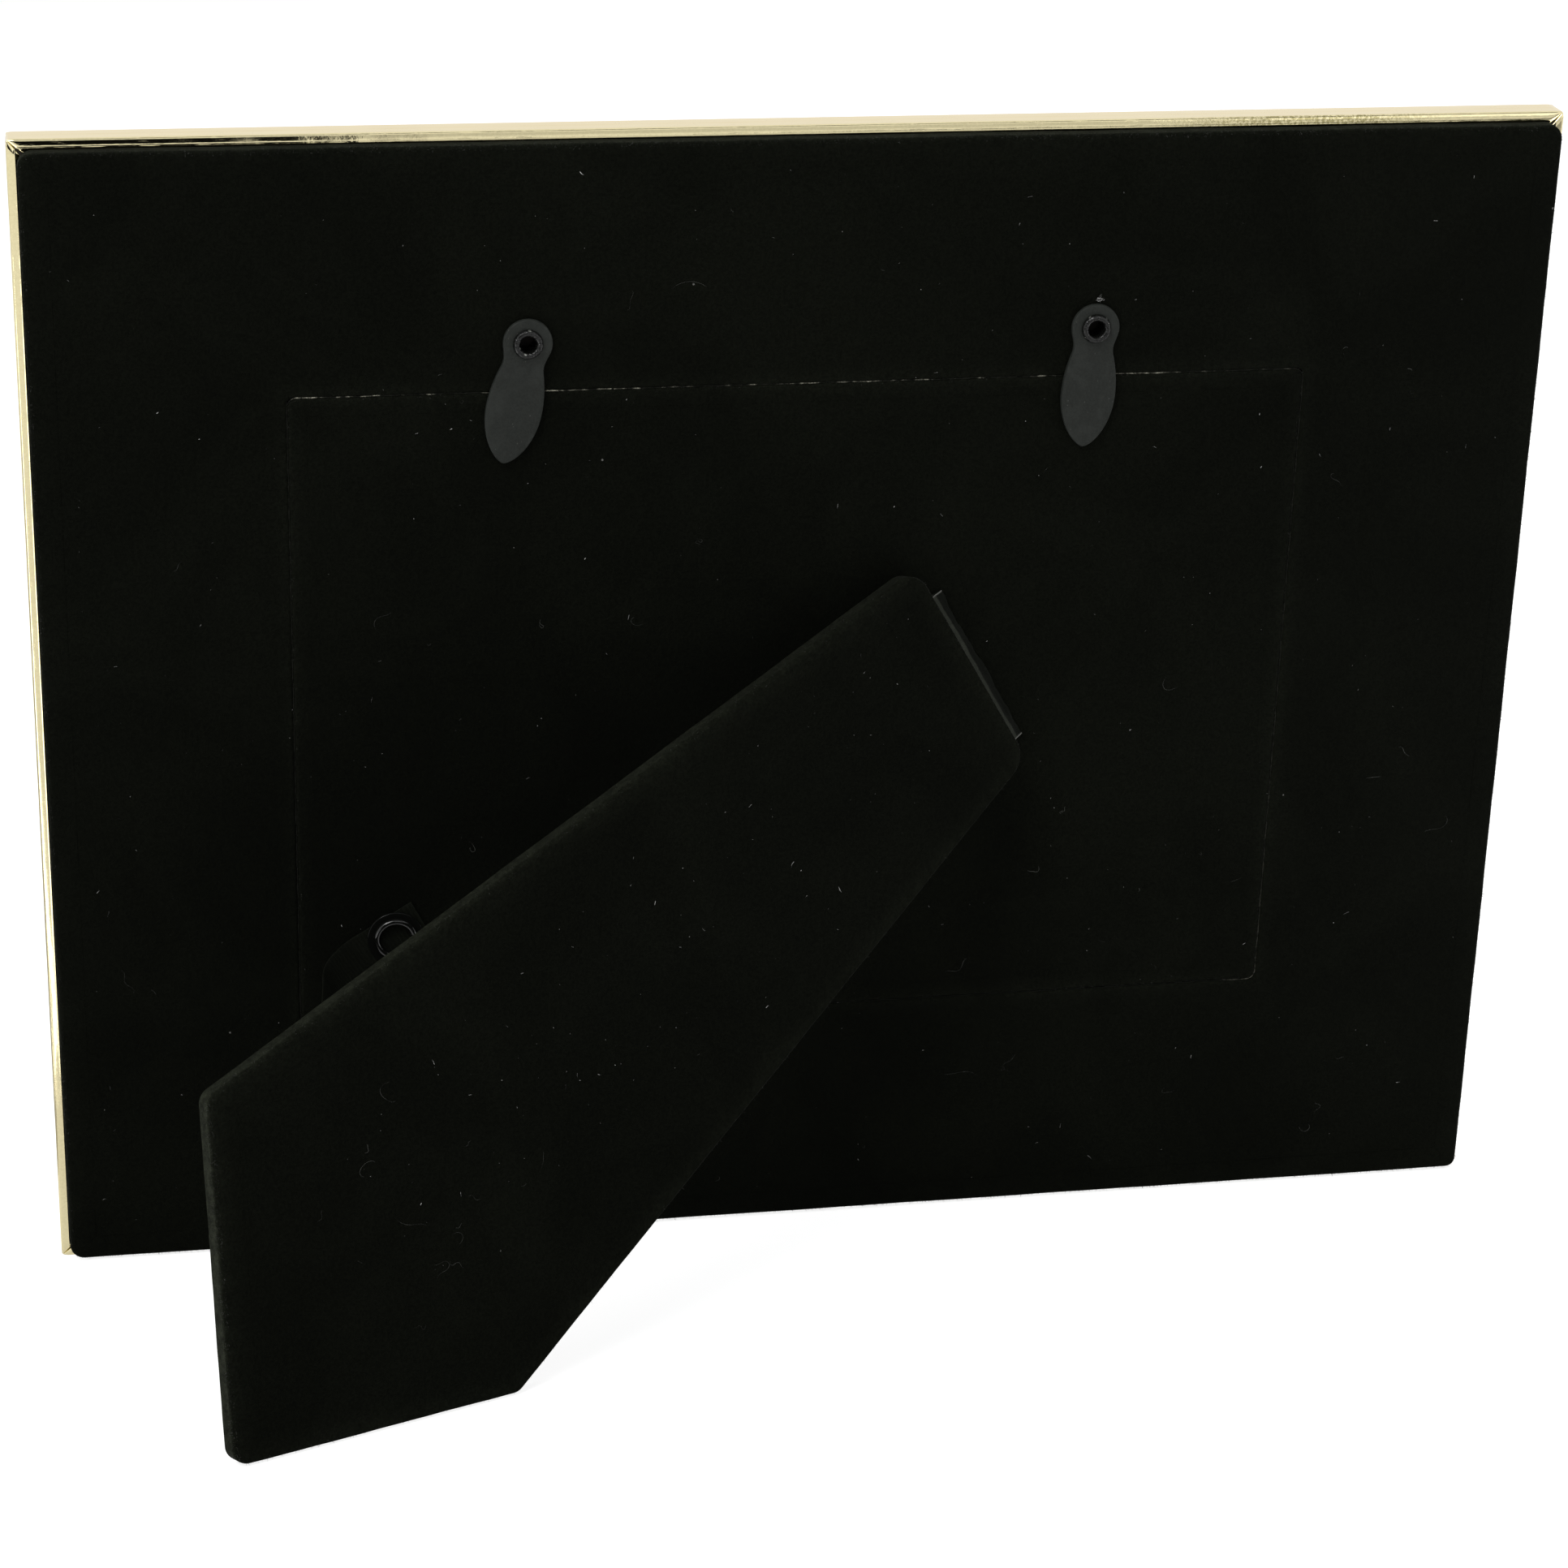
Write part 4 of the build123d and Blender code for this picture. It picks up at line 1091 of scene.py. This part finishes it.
def spun(section, centre, nick, phase):
    """A section of radius, depth and weight spun round an axis out of the back. By its weight it is dented
    by sine waves of the angle and nicked by slits, narrow bell curves of the angle."""
    angle = np.linspace(0, 2 * math.pi, 96, endpoint=False)
    radius, depth, weight = np.array(section).T
    waves = [(height, length, phase * (i + 1)) for i, (height, length) in enumerate(RIM_DENTS)]
    between = np.mod(angle * RIM_SLITS / (2 * math.pi) + phase, 1) - 0.5
    slits = np.exp(-(between**2) / RIM_SLIT_SPREAD)
    dented = RIM_DENT_DEPTH * ripple(angle * 3, waves) - RIM_SLIT_DEPTH * slits
    fall = dented[:, None] * weight[None, :] * nick
    reach = radius[None, :] + RIM_SIDEWAYS * fall
    x = centre[0] + np.cos(angle)[:, None] * reach
    y = centre[1] + np.sin(angle)[:, None] * reach
    return patch(on_back(x, y, depth[None, :] + fall), wrap_u=True, wrap_v=True, turned=weight)


def rim(inner, outer, seat, height):
    """A rolled rim as half an ellipse from its outer edge over to its bore, with a weight for its dents."""
    middle = (inner + outer) / 2
    half = (outer - inner) / 2
    angle = np.linspace(0, math.pi, 14)
    return [(middle + half * math.cos(a), seat + height * math.sin(a), math.sin(a)) for a in angle]


def barrel(bore, radius, seat):
    """An eyelet's barrel in section: its foot from the bore outwards, and up to its seat."""
    return [(bore, EYELET_FOOT, 0.0), (radius, EYELET_FOOT, 0.0), (radius, seat, 0.0)]


def button_eyelet(side, right, phase):
    """A tubular eyelet: barrel, rolled rim over the button and the bore's wall, as one closed section."""
    section = barrel(EYELET_BORE, EYELET_BARREL, EYELET_SEAT)
    section += rim(EYELET_BORE, EYELET_HEAD, EYELET_SEAT, EYELET_ROLL)
    tube = spun(section, (right, BUTTON_UP), EYELET_NICKS, phase)
    piece(f"eyelet_rim_{side}", [tube], LACQUER, "frame", (f"eyelet_{side}",), 60.0)


def stay_rivet():
    """The stay eyelet: a flange with a rounded edge, a rolled ring and the bore's wall, as one closed
    section."""
    top = STAY_SEAT + STAY_PLATE
    section = barrel(STAY_BORE, STAY_BARREL, STAY_SEAT) + [(STAY_HEAD, STAY_SEAT, 0.1)]
    for a in np.linspace(0, math.pi / 2, 5):
        out = STAY_HEAD - STAY_EDGE + STAY_EDGE * math.cos(a)
        section.append((out, top - STAY_EDGE + STAY_EDGE * math.sin(a), 0.35 * math.cos(a)))
    section.append((STAY_RING + STAY_DISH_OUT, top - STAY_DISH_SUNK, 0.05))
    section += rim(STAY_BORE, STAY_RING, top - STAY_RING_SUNK, STAY_ROLL - STAY_PLATE + STAY_RING_SUNK)
    tube = spun(section, stay_place(), STAY_NICKS, 1.3)
    piece("stay_rivet", [tube], STAY_LACQUER, "frame", ("stay_eyelet",), 60.0)


for side_name, side_phase in (("left", 0.4), ("right", 2.3)):
    turn_button(side_name, BUTTON_PLACES[side_name])
    button_eyelet(side_name, BUTTON_PLACES[side_name], side_phase)
stay_rivet()


# Hinge tape and stay ribbon
def hinge_tape():
    """Leatherette folded double: a section of two flanges and a round nose carried along the hinge. The
    nose stands proud, more at its upper end than at its lower, and swells, shrinks and creases by sine
    waves of the distance along; the two ends are cut square."""
    across = np.linspace(-TAPE_WIDTH / 2, TAPE_WIDTH / 2, 70)
    far = np.linspace(TAPE_FLANGE, TAPE_OPENS, 8)
    angle = np.radians(np.linspace(-90, -270, 15))
    nose = np.column_stack([-TAPE_NOSE + TAPE_NOSE_RADIUS * np.cos(angle), TAPE_NOSE_RADIUS * np.sin(angle)])
    lower = np.column_stack([far, np.full(len(far), -TAPE)])
    near = far[::-1]
    upper = np.column_stack([near * OPEN_COS - TAPE * OPEN_SIN, near * OPEN_SIN + TAPE * OPEN_COS])
    inner_upper = np.column_stack([far * OPEN_COS, far * OPEN_SIN + TAPE_GAP])
    inner_lower = np.column_stack([near, np.full(len(far), -TAPE_GAP)])
    throat = np.array([[TAPE_THROAT, 0.0]])
    section = np.concatenate([lower, nose, upper, inner_upper, throat, inner_lower])
    free = np.zeros(len(section))
    free[len(far) : len(far) + len(nose)] = np.sin(np.linspace(0, math.pi, len(nose)))
    proud = TAPE_PROUD - TAPE_SKEW * across / (TAPE_WIDTH / 2)
    along = section[None, :, 0] - (ripple(across, TAPE_SWELL) + proud)[:, None] * free[None, :]
    crease = ripple(across, TAPE_CREASE)[:, None] * free[None, :]
    out = section[None, :, 1] + crease * (section[None, :, 1] > 0)
    points = at_hinge(along, (across + TAPE_SHIFT)[:, None], out)
    lay = np.stack([np.broadcast_to(across[:, None], along.shape), along + proud[:, None]], axis=-1) * MM
    walls = capped_tube(points, lay)
    made = piece("tape_hinge", walls, LEATHERETTE, None, ("hinge_tape",), 45.0)
    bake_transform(made)


def ribbon_line():
    """The ribbon's middle line in the plane across the hinge: flat on the door, round a bend, straight out
    to the leg, round a second bend and flat under the leg. Each bend is the arc that touches both its
    runs."""
    floor = -TAPE + RIBBON / 2
    lift = TAPE - RIBBON / 2 - RIBBON_ROOM
    held = np.array([RIBBON_HOLD, RIBBON_HOLD + RIBBON_GLUE])
    leg = np.column_stack([held * OPEN_COS - lift * OPEN_SIN, held * OPEN_SIN + lift * OPEN_COS])
    corner = (STAY_ALONG + STAY_HEAD + RIBBON_BEND, floor)
    knots = np.array([(STAY_ALONG - RIBBON_TAIL, floor), corner, leg[0], leg[1]])
    share = np.linspace(0, 1, 18)[:, None]
    parts = [knots[:1]]
    for knot, radius in ((1, RIBBON_BEND), (2, RIBBON_LEG_BEND)):
        back = unit(knots[knot - 1] - knots[knot])
        ahead = unit(knots[knot + 1] - knots[knot])
        half = math.acos(np.clip(back @ ahead, -1, 1)) / 2
        centre = knots[knot] + unit(back + ahead) * radius / math.sin(half)
        first = knots[knot] + back * radius / math.tan(half) - centre
        last = knots[knot] + ahead * radius / math.tan(half) - centre
        sweep = math.pi - 2 * half
        turned = np.sin((1 - share) * sweep) * first + np.sin(share * sweep) * last
        parts.append(centre + turned / math.sin(sweep))
    parts.append(knots[-1:])
    return np.concatenate(parts)


def stay_ribbon():
    """A flat corded ribbon: a thin section with rounded selvedges carried along the ribbon's line, filled
    in every millimetre, with its edges wandering a little and its end by the eyelet cut at a slant."""
    line = ribbon_line()
    length = np.concatenate([[0], np.cumsum(np.linalg.norm(np.diff(line, axis=0), axis=1))])
    step = np.linspace(0, length[-1], int(length[-1]))
    path = np.column_stack([np.interp(step, length, line[:, 0]), np.interp(step, length, line[:, 1])])
    tangent = unit(np.gradient(path, axis=0))
    normal = np.column_stack([-tangent[:, 1], tangent[:, 0]])
    turn = np.linspace(0, 2 * math.pi, 40, endpoint=False)
    wide = np.sign(np.cos(turn)) * np.abs(np.cos(turn)) ** RIBBON_SQUARENESS * RIBBON_WIDTH / 2
    thick = np.sign(np.sin(turn)) * np.abs(np.sin(turn)) ** RIBBON_ROUNDNESS * RIBBON * RIBBON_THICK_SHARE
    edge = ripple(step, RIBBON_EDGE_WAVES)
    along = path[:, 0, None] + normal[:, 0, None] * thick
    out = path[:, 1, None] + normal[:, 1, None] * thick
    slant = np.exp(-step / RIBBON_CUT)[:, None] * wide[None, :] * RIBBON_CUT_SLANT
    across = STAY_SIDE + wide[None, :] * (1 + edge[:, None] / RIBBON_WIDTH)
    lay = np.stack([np.broadcast_to(step[:, None], across.shape), across], axis=-1) * MM
    walls = capped_tube(at_hinge(along + slant, across, out), lay)
    made = piece("ribbon_stay", walls, CORDED, "frame", ("stay_ribbon",), 60.0)
    tuple(at_hinge(0, 0, -TAPE))
    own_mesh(made)


hinge_tape()
stay_ribbon()


# Fuzz, lint and frayed backing
def blades(roots, heading, length, width, rng, bend=0.5):
    """Fibres as bent tapered blades: two points at the root, two at 0.55 of the length, and a tip that
    leans sideways."""
    count = len(roots)
    heading = unit(heading)
    side = unit(np.cross(heading, unit(rng.normal(size=(count, 3)))))
    lean = unit(np.cross(side, heading) + rng.normal(scale=0.4, size=(count, 3)))
    length = length[:, None] * MM
    half = side * (width * MM / 2)[:, None]
    middle = roots + heading * length * 0.55 + lean * length * bend * 0.3
    tip = roots + heading * length * 0.95 + lean * length * bend
    corners = [roots - half, roots + half, middle + half * 0.8, middle - half * 0.8, tip + half * 0.2]
    vertices = np.stack(corners, axis=1).reshape(-1, 3)
    start = np.arange(count)[:, None] * len(corners)
    quads = start + np.array([0, 1, 2, 3])
    tips = start + np.array([3, 2, 4])
    none = np.zeros((0, 3))
    return [(vertices, quads, np.zeros(vertices.shape)), (none, tips - len(vertices), none)]


def edge_fuzz(name, edge, row, body, per_mm, longest, seed, worn=1.0):
    """Pile that stands out along a cloth's turned edge: roots spread over some rows of the edge, headed out
    of it, with more of them by a weight along the edge; the leg's weight is its share facing the lamps."""
    rng = np.random.default_rng(seed)
    loop = edge[:, row]
    steps = np.linalg.norm(np.roll(loop, -1, axis=0) - loop, axis=1) * worn
    count = int(steps.sum() / MM * per_mm)
    at = rng.choice(len(loop), size=count, p=steps / steps.sum())
    across = rng.integers(row - 4, row + 3, size=count)
    share = rng.random(count)[:, None]
    after = (at + 1) % len(loop)
    roots = edge[at, across] * (1 - share) + edge[after, across] * share
    along_edge = edge[after, across] - edge[at, across]
    over_edge = edge[at, across + 1] - edge[at, across - 1]
    heading = unit(np.cross(along_edge, over_edge)) + rng.normal(scale=0.35, size=(count, 3))
    length = longest * (0.35 + 0.65 * rng.random(count) ** 2)
    fibres = blades(roots, heading, length, np.full(count, FUZZ_WIDTH), rng)
    piece(name, fibres, FUZZ, body)


def lint(name, place, face, count, size, body, seed):
    """Lint lying on a cloth face: short curled threads, each a bent blade, most of them only a speck
    long."""
    rng = np.random.default_rng(seed)
    x = (rng.random(count) - 0.5) * size[0] + size[2]
    y = (rng.random(count) - 0.5) * size[1] + size[3]
    turn = rng.random(count) * 2 * math.pi
    roots = place(x, y, face + LINT_LIFT)
    ahead = place(x + np.cos(turn), y + np.sin(turn), face + LINT_LIFT + 0.15 * rng.random(count))
    length = 0.1 + 0.9 * rng.random(count) ** 6
    width = 0.04 + 0.08 * rng.random(count) ** 2
    piece(name, blades(roots, ahead - roots, length, width, rng, 0.6), LINT, body)


def hairs(name, place, face, count, size, body, seed):
    """Hairs lying on a cloth face: thin strips whose heading turns steadily and sways by a sine wave along
    the hair, their points summed from the heading, each rising a little in the middle and thinning to its
    ends."""
    rng = np.random.default_rng(seed)
    each = (count, 1)
    share = np.linspace(0, 1, 22)[None, :]
    length = 0.8 + 5.0 * rng.random(each) ** 2
    sway = rng.normal(scale=0.9, size=each) * np.sin(2 * math.pi * share * (0.5 + rng.random(each)))
    heading = rng.random(each) * 2 * math.pi + rng.normal(scale=2.6, size=each) * share + sway
    step = length / (share.shape[1] - 1)
    x = (rng.random(each) - 0.5) * size[0] + size[2] + np.cumsum(np.cos(heading) * step, axis=1)
    y = (rng.random(each) - 0.5) * size[1] + size[3] + np.cumsum(np.sin(heading) * step, axis=1)
    rise = face + HAIR_LIFT + 0.12 * np.sin(math.pi * share)
    half = (0.009 + 0.012 * rng.random(each)) * np.sin(math.pi * (0.12 + 0.76 * share))
    edges = [place(x - s * half * np.sin(heading), y + s * half * np.cos(heading), rise) for s in (-1, 1)]
    strips = np.stack(edges, axis=2)
    piece(name, [patch(strip) for strip in strips], LINT_HAIR, body)


def seam_backing():
    """The cloths' pale backing in the door's seam: a thin strip carried round the seam, its width and
    height wandering by sine waves. How much of it shows goes into its pattern place: in dashes along the
    top, thinly down the right side, as a trace down the left and only next to the right corner along the
    bottom."""
    seam = (WINDOW_WIDTH - DOOR_WIDTH) / 4
    loop = outline(door_corners, [DOOR_CORNER] * 4, -seam, 900)
    after = np.roll(loop, -1, axis=0)
    round_it = np.cumsum(np.linalg.norm(after - loop, axis=1))
    sideways = unit(np.column_stack([loop[:, 1] - after[:, 1], after[:, 0] - loop[:, 0]]))
    half = BACKING_HALF + ripple(round_it, BACKING_HALF_WAVES)
    rise = ripple(round_it, BACKING_RISE_WAVES)
    across = np.linspace(-1, 1, 5)
    spread = ripple(round_it, BACKING_SHIFT_WAVES)[:, None] + half[:, None] * across
    moved = loop[:, None] + sideways[:, None] * spread[..., None]
    depth = VELVET_FACE - BACKING_SUNK + rise[:, None] + 0.05 * (1 - across**2)
    right, up = loop.T
    dash = 0.05 + ripple(right, DASH_WAVES)
    fading = np.clip(dash * (0.75 - 0.95 * right / DOOR_WIDTH), DASH_LEAST, DASH_MOST)
    gaping = (0.45 + ripple(right, GAPE_WAVES)) * np.exp(-(((right - GAPE_PLACE) / GAPE_HALF) ** 4))
    on_top = (up > DOOR_HEIGHT / 2) * np.maximum(fading, gaping)
    near_corner = np.clip((right - DOOR_WIDTH / 2 + STUB_LENGTH) / STUB_FADE, 0, 1)
    stub = STUB_SHOWS * near_corner * (up < -DOOR_HEIGHT / 2 + 1)
    right_side = DOOR_WIDTH / 2 - DOOR_SHORT - SIDE_BAND
    on_right = (right > right_side) * (RIGHT_SHOWS + RIGHT_SHOWS_MORE * np.clip(-up / DOOR_HEIGHT, 0, 1))
    on_left = LEFT_SHOWS * (right < SIDE_BAND - DOOR_WIDTH / 2)
    shows = np.maximum.reduce([on_top, stub, on_right, on_left])
    lay = np.stack([np.broadcast_to(round_it[:, None], spread.shape), spread], axis=-1) * MM
    strip = patch(on_back(moved[..., 0], moved[..., 1], depth), wrap_u=True, lay=lay, turned=shows[:, None])
    piece("seam_backing", [strip], BACKING, "frame")


edge_fuzz("fuzz_back", back_edge, 8, "frame", 9.0, 0.5, 11)
edge_fuzz("fuzz_door", door_edge, 8, "frame", 4.0, 0.3, 12)
edge_fuzz("fuzz_leg", leg_edge, 9, "leg", 13.0, 0.5, 13, leg_lit)
lint("lint_back", on_back, VELVET_FACE, 420, (218.0, 168.0, 0.0, 0.0), "frame", 21)
lint("lint_leg", on_leg, LEG_OUTER, 150, (122.0, 34.0, 66.0, 0.0), "leg", 22)
lint("fluff_right", on_back, VELVET_FACE + 0.1, 26, (1.1, 0.5, 43.5, 62.6), "right_button", 23)
hairs("hairs_back", on_back, VELVET_FACE, 46, (212.0, 162.0, 0.0, 0.0), "frame", 31)
hairs("hairs_leg", on_leg, LEG_OUTER, 15, (34.0, 34.0, 121.0, -3.0), "leg", 32)
seam_backing()


# Finishes of the CAD nodes that stay
node_finishes = (
    (FIBREBOARD, ("core_top", "core_right", "core_bottom", "core_left")),
    (STEEL, ("corner_nails", "door_tongues")),
    (GLASS, ("glass",)),
    (PRINT, ("photo_print",)),
    (GREY_CARD, ("backing_pad",)),
    (BLACK_BOARD, ("back_board", "door_board", "leg_board")),
)
for finish, node_names in node_finishes:
    for node_name in node_names:
        for node_slot in frame["nodes"][node_name].material_slots:
            node_slot.material = finish


# Studio
def looked_at_share(tree, rays):
    """One where a ray comes from the camera, from gloss or through glass, and nought for other rays."""
    mirrored = maths(tree, "MAXIMUM", rays["Is Glossy Ray"], rays["Is Transmission Ray"])
    return maths(tree, "MAXIMUM", rays["Is Camera Ray"], mirrored)


def floor_material():
    """White floor: to the camera, to gloss and through glass it shows near white with the object's shadow
    on it, and to other rays it is a plain pale surface."""
    material, tree = bare_material("pale_floor")
    place = put(tree, "ShaderNodeTexCoord").outputs["Object"]
    shade = tint(tree, noise(tree, place, 3.0, 2.0), FLOOR_GREY, FLOOR_PALE)
    plain = put(tree, "ShaderNodeBsdfDiffuse", {"Color": shade})
    faint = put(tree, "ShaderNodeBsdfDiffuse", {"Color": FLOOR_SHADOWED})
    rays = put(tree, "ShaderNodeLightPath").outputs
    less = times(tree, rays["Is Glossy Ray"], FLOOR_MIRRORED_LESS)
    strength = maths(tree, "SUBTRACT", FLOOR_GLOW, less)
    glow = put(tree, "ShaderNodeEmission", {"Color": WHITE, "Strength": strength})
    seen = put(tree, "ShaderNodeAddShader", {0: faint.outputs[0], 1: glow.outputs[0]})
    shaders = {0: looked_at_share(tree, rays), 1: plain.outputs[0], 2: seen.outputs[0]}
    mixed = put(tree, "ShaderNodeMixShader", shaders)
    put(tree, "ShaderNodeOutputMaterial", {"Surface": mixed.outputs[0]})
    return material


def flat_grid(centre, across, along, count):
    """A flat grid of two directions about its centre."""
    u, v = np.meshgrid(np.linspace(-0.5, 0.5, count), np.linspace(-0.5, 0.5, count), indexing="ij")
    return patch(np.array(centre) + u[..., None] * np.array(across) + v[..., None] * np.array(along))


def studio_floor():
    """A flat square under the object."""
    grid = flat_grid((0, 0, 0), (FLOOR_SIZE, 0, 0), (0, FLOOR_SIZE, 0), 5)
    floor = piece("floor", [grid], floor_material(), None)


def studio_card(name, centre, across, along, shade):
    """A card of one plain shade that only reflections see."""
    material, tree = bare_material(name)
    glow = put(tree, "ShaderNodeEmission", {"Color": (shade, shade, shade, 1), "Strength": 1.0})
    put(tree, "ShaderNodeOutputMaterial", {"Surface": glow.outputs[0]})
    card = piece(name, [flat_grid(centre, across, along, 3)], material, None)
    card.visible_camera = False
    card.visible_diffuse = False
    card.visible_shadow = False
    card.visible_transmission = False


def studio_world():
    """White surroundings, at full strength to the camera, to gloss and through glass, and softer as a
    light."""
    world = bpy.data.worlds.new("studio")
    world.use_nodes = True
    bpy.context.scene.world = world
    tree = world.node_tree
    tree.nodes.clear()
    looked_at = looked_at_share(tree, put(tree, "ShaderNodeLightPath").outputs)
    soft = put(tree, "ShaderNodeBackground", {"Color": WHITE, "Strength": 0.5})
    white = put(tree, "ShaderNodeBackground", {"Color": WHITE, "Strength": 1.0})
    mixed = put(tree, "ShaderNodeMixShader", {0: looked_at, 1: soft.outputs[0], 2: white.outputs[0]})
    put(tree, "ShaderNodeOutputWorld", {"Surface": mixed.outputs[0]})


def aimed(name, data, place, aim):
    """A lamp or camera at a place, turned level towards an aim."""
    obj = bpy.data.objects.new(name, data)
    bpy.context.scene.collection.objects.link(obj)
    obj.location = place
    obj.rotation_euler = (Vector(aim) - Vector(place)).to_track_quat("-Z", "Y").to_euler()
    return obj


def soft_lamp(name, place, size, power, mirrored):
    """A square area lamp turned towards the object, that gloss either shows or leaves out."""
    data = bpy.data.lights.new(name, "AREA")
    data.size = size
    data.energy = power
    aimed(name, data, place, LAMP_AIM).visible_glossy = mirrored


def photo_camera():
    """The camera at the photograph's place, with its lens in millimetres on a square film."""
    data = bpy.data.cameras.new("camera")
    data.sensor_width = CAMERA_FILM
    data.lens = CAMERA_LENS
    data.clip_start = 0.01
    data.clip_end = 50.0
    bpy.context.scene.camera = aimed("camera", data, CAMERA_PLACE, CAMERA_AIM)


studio_floor()
studio_world()
for studio_values in STUDIO_CARDS:
    studio_card(*studio_values)
soft_lamp("key_lamp", (0.9, 0.9, 1.5), 1.0, 24.0, True)
soft_lamp("top_lamp", (0.1, 0.1, 1.9), 1.6, 18.0, False)
soft_lamp("front_lamp", (-0.9, -1.3, 1.3), 1.2, 20.0, False)
photo_camera()
bpy.context.scene.view_settings.view_transform = "Standard"
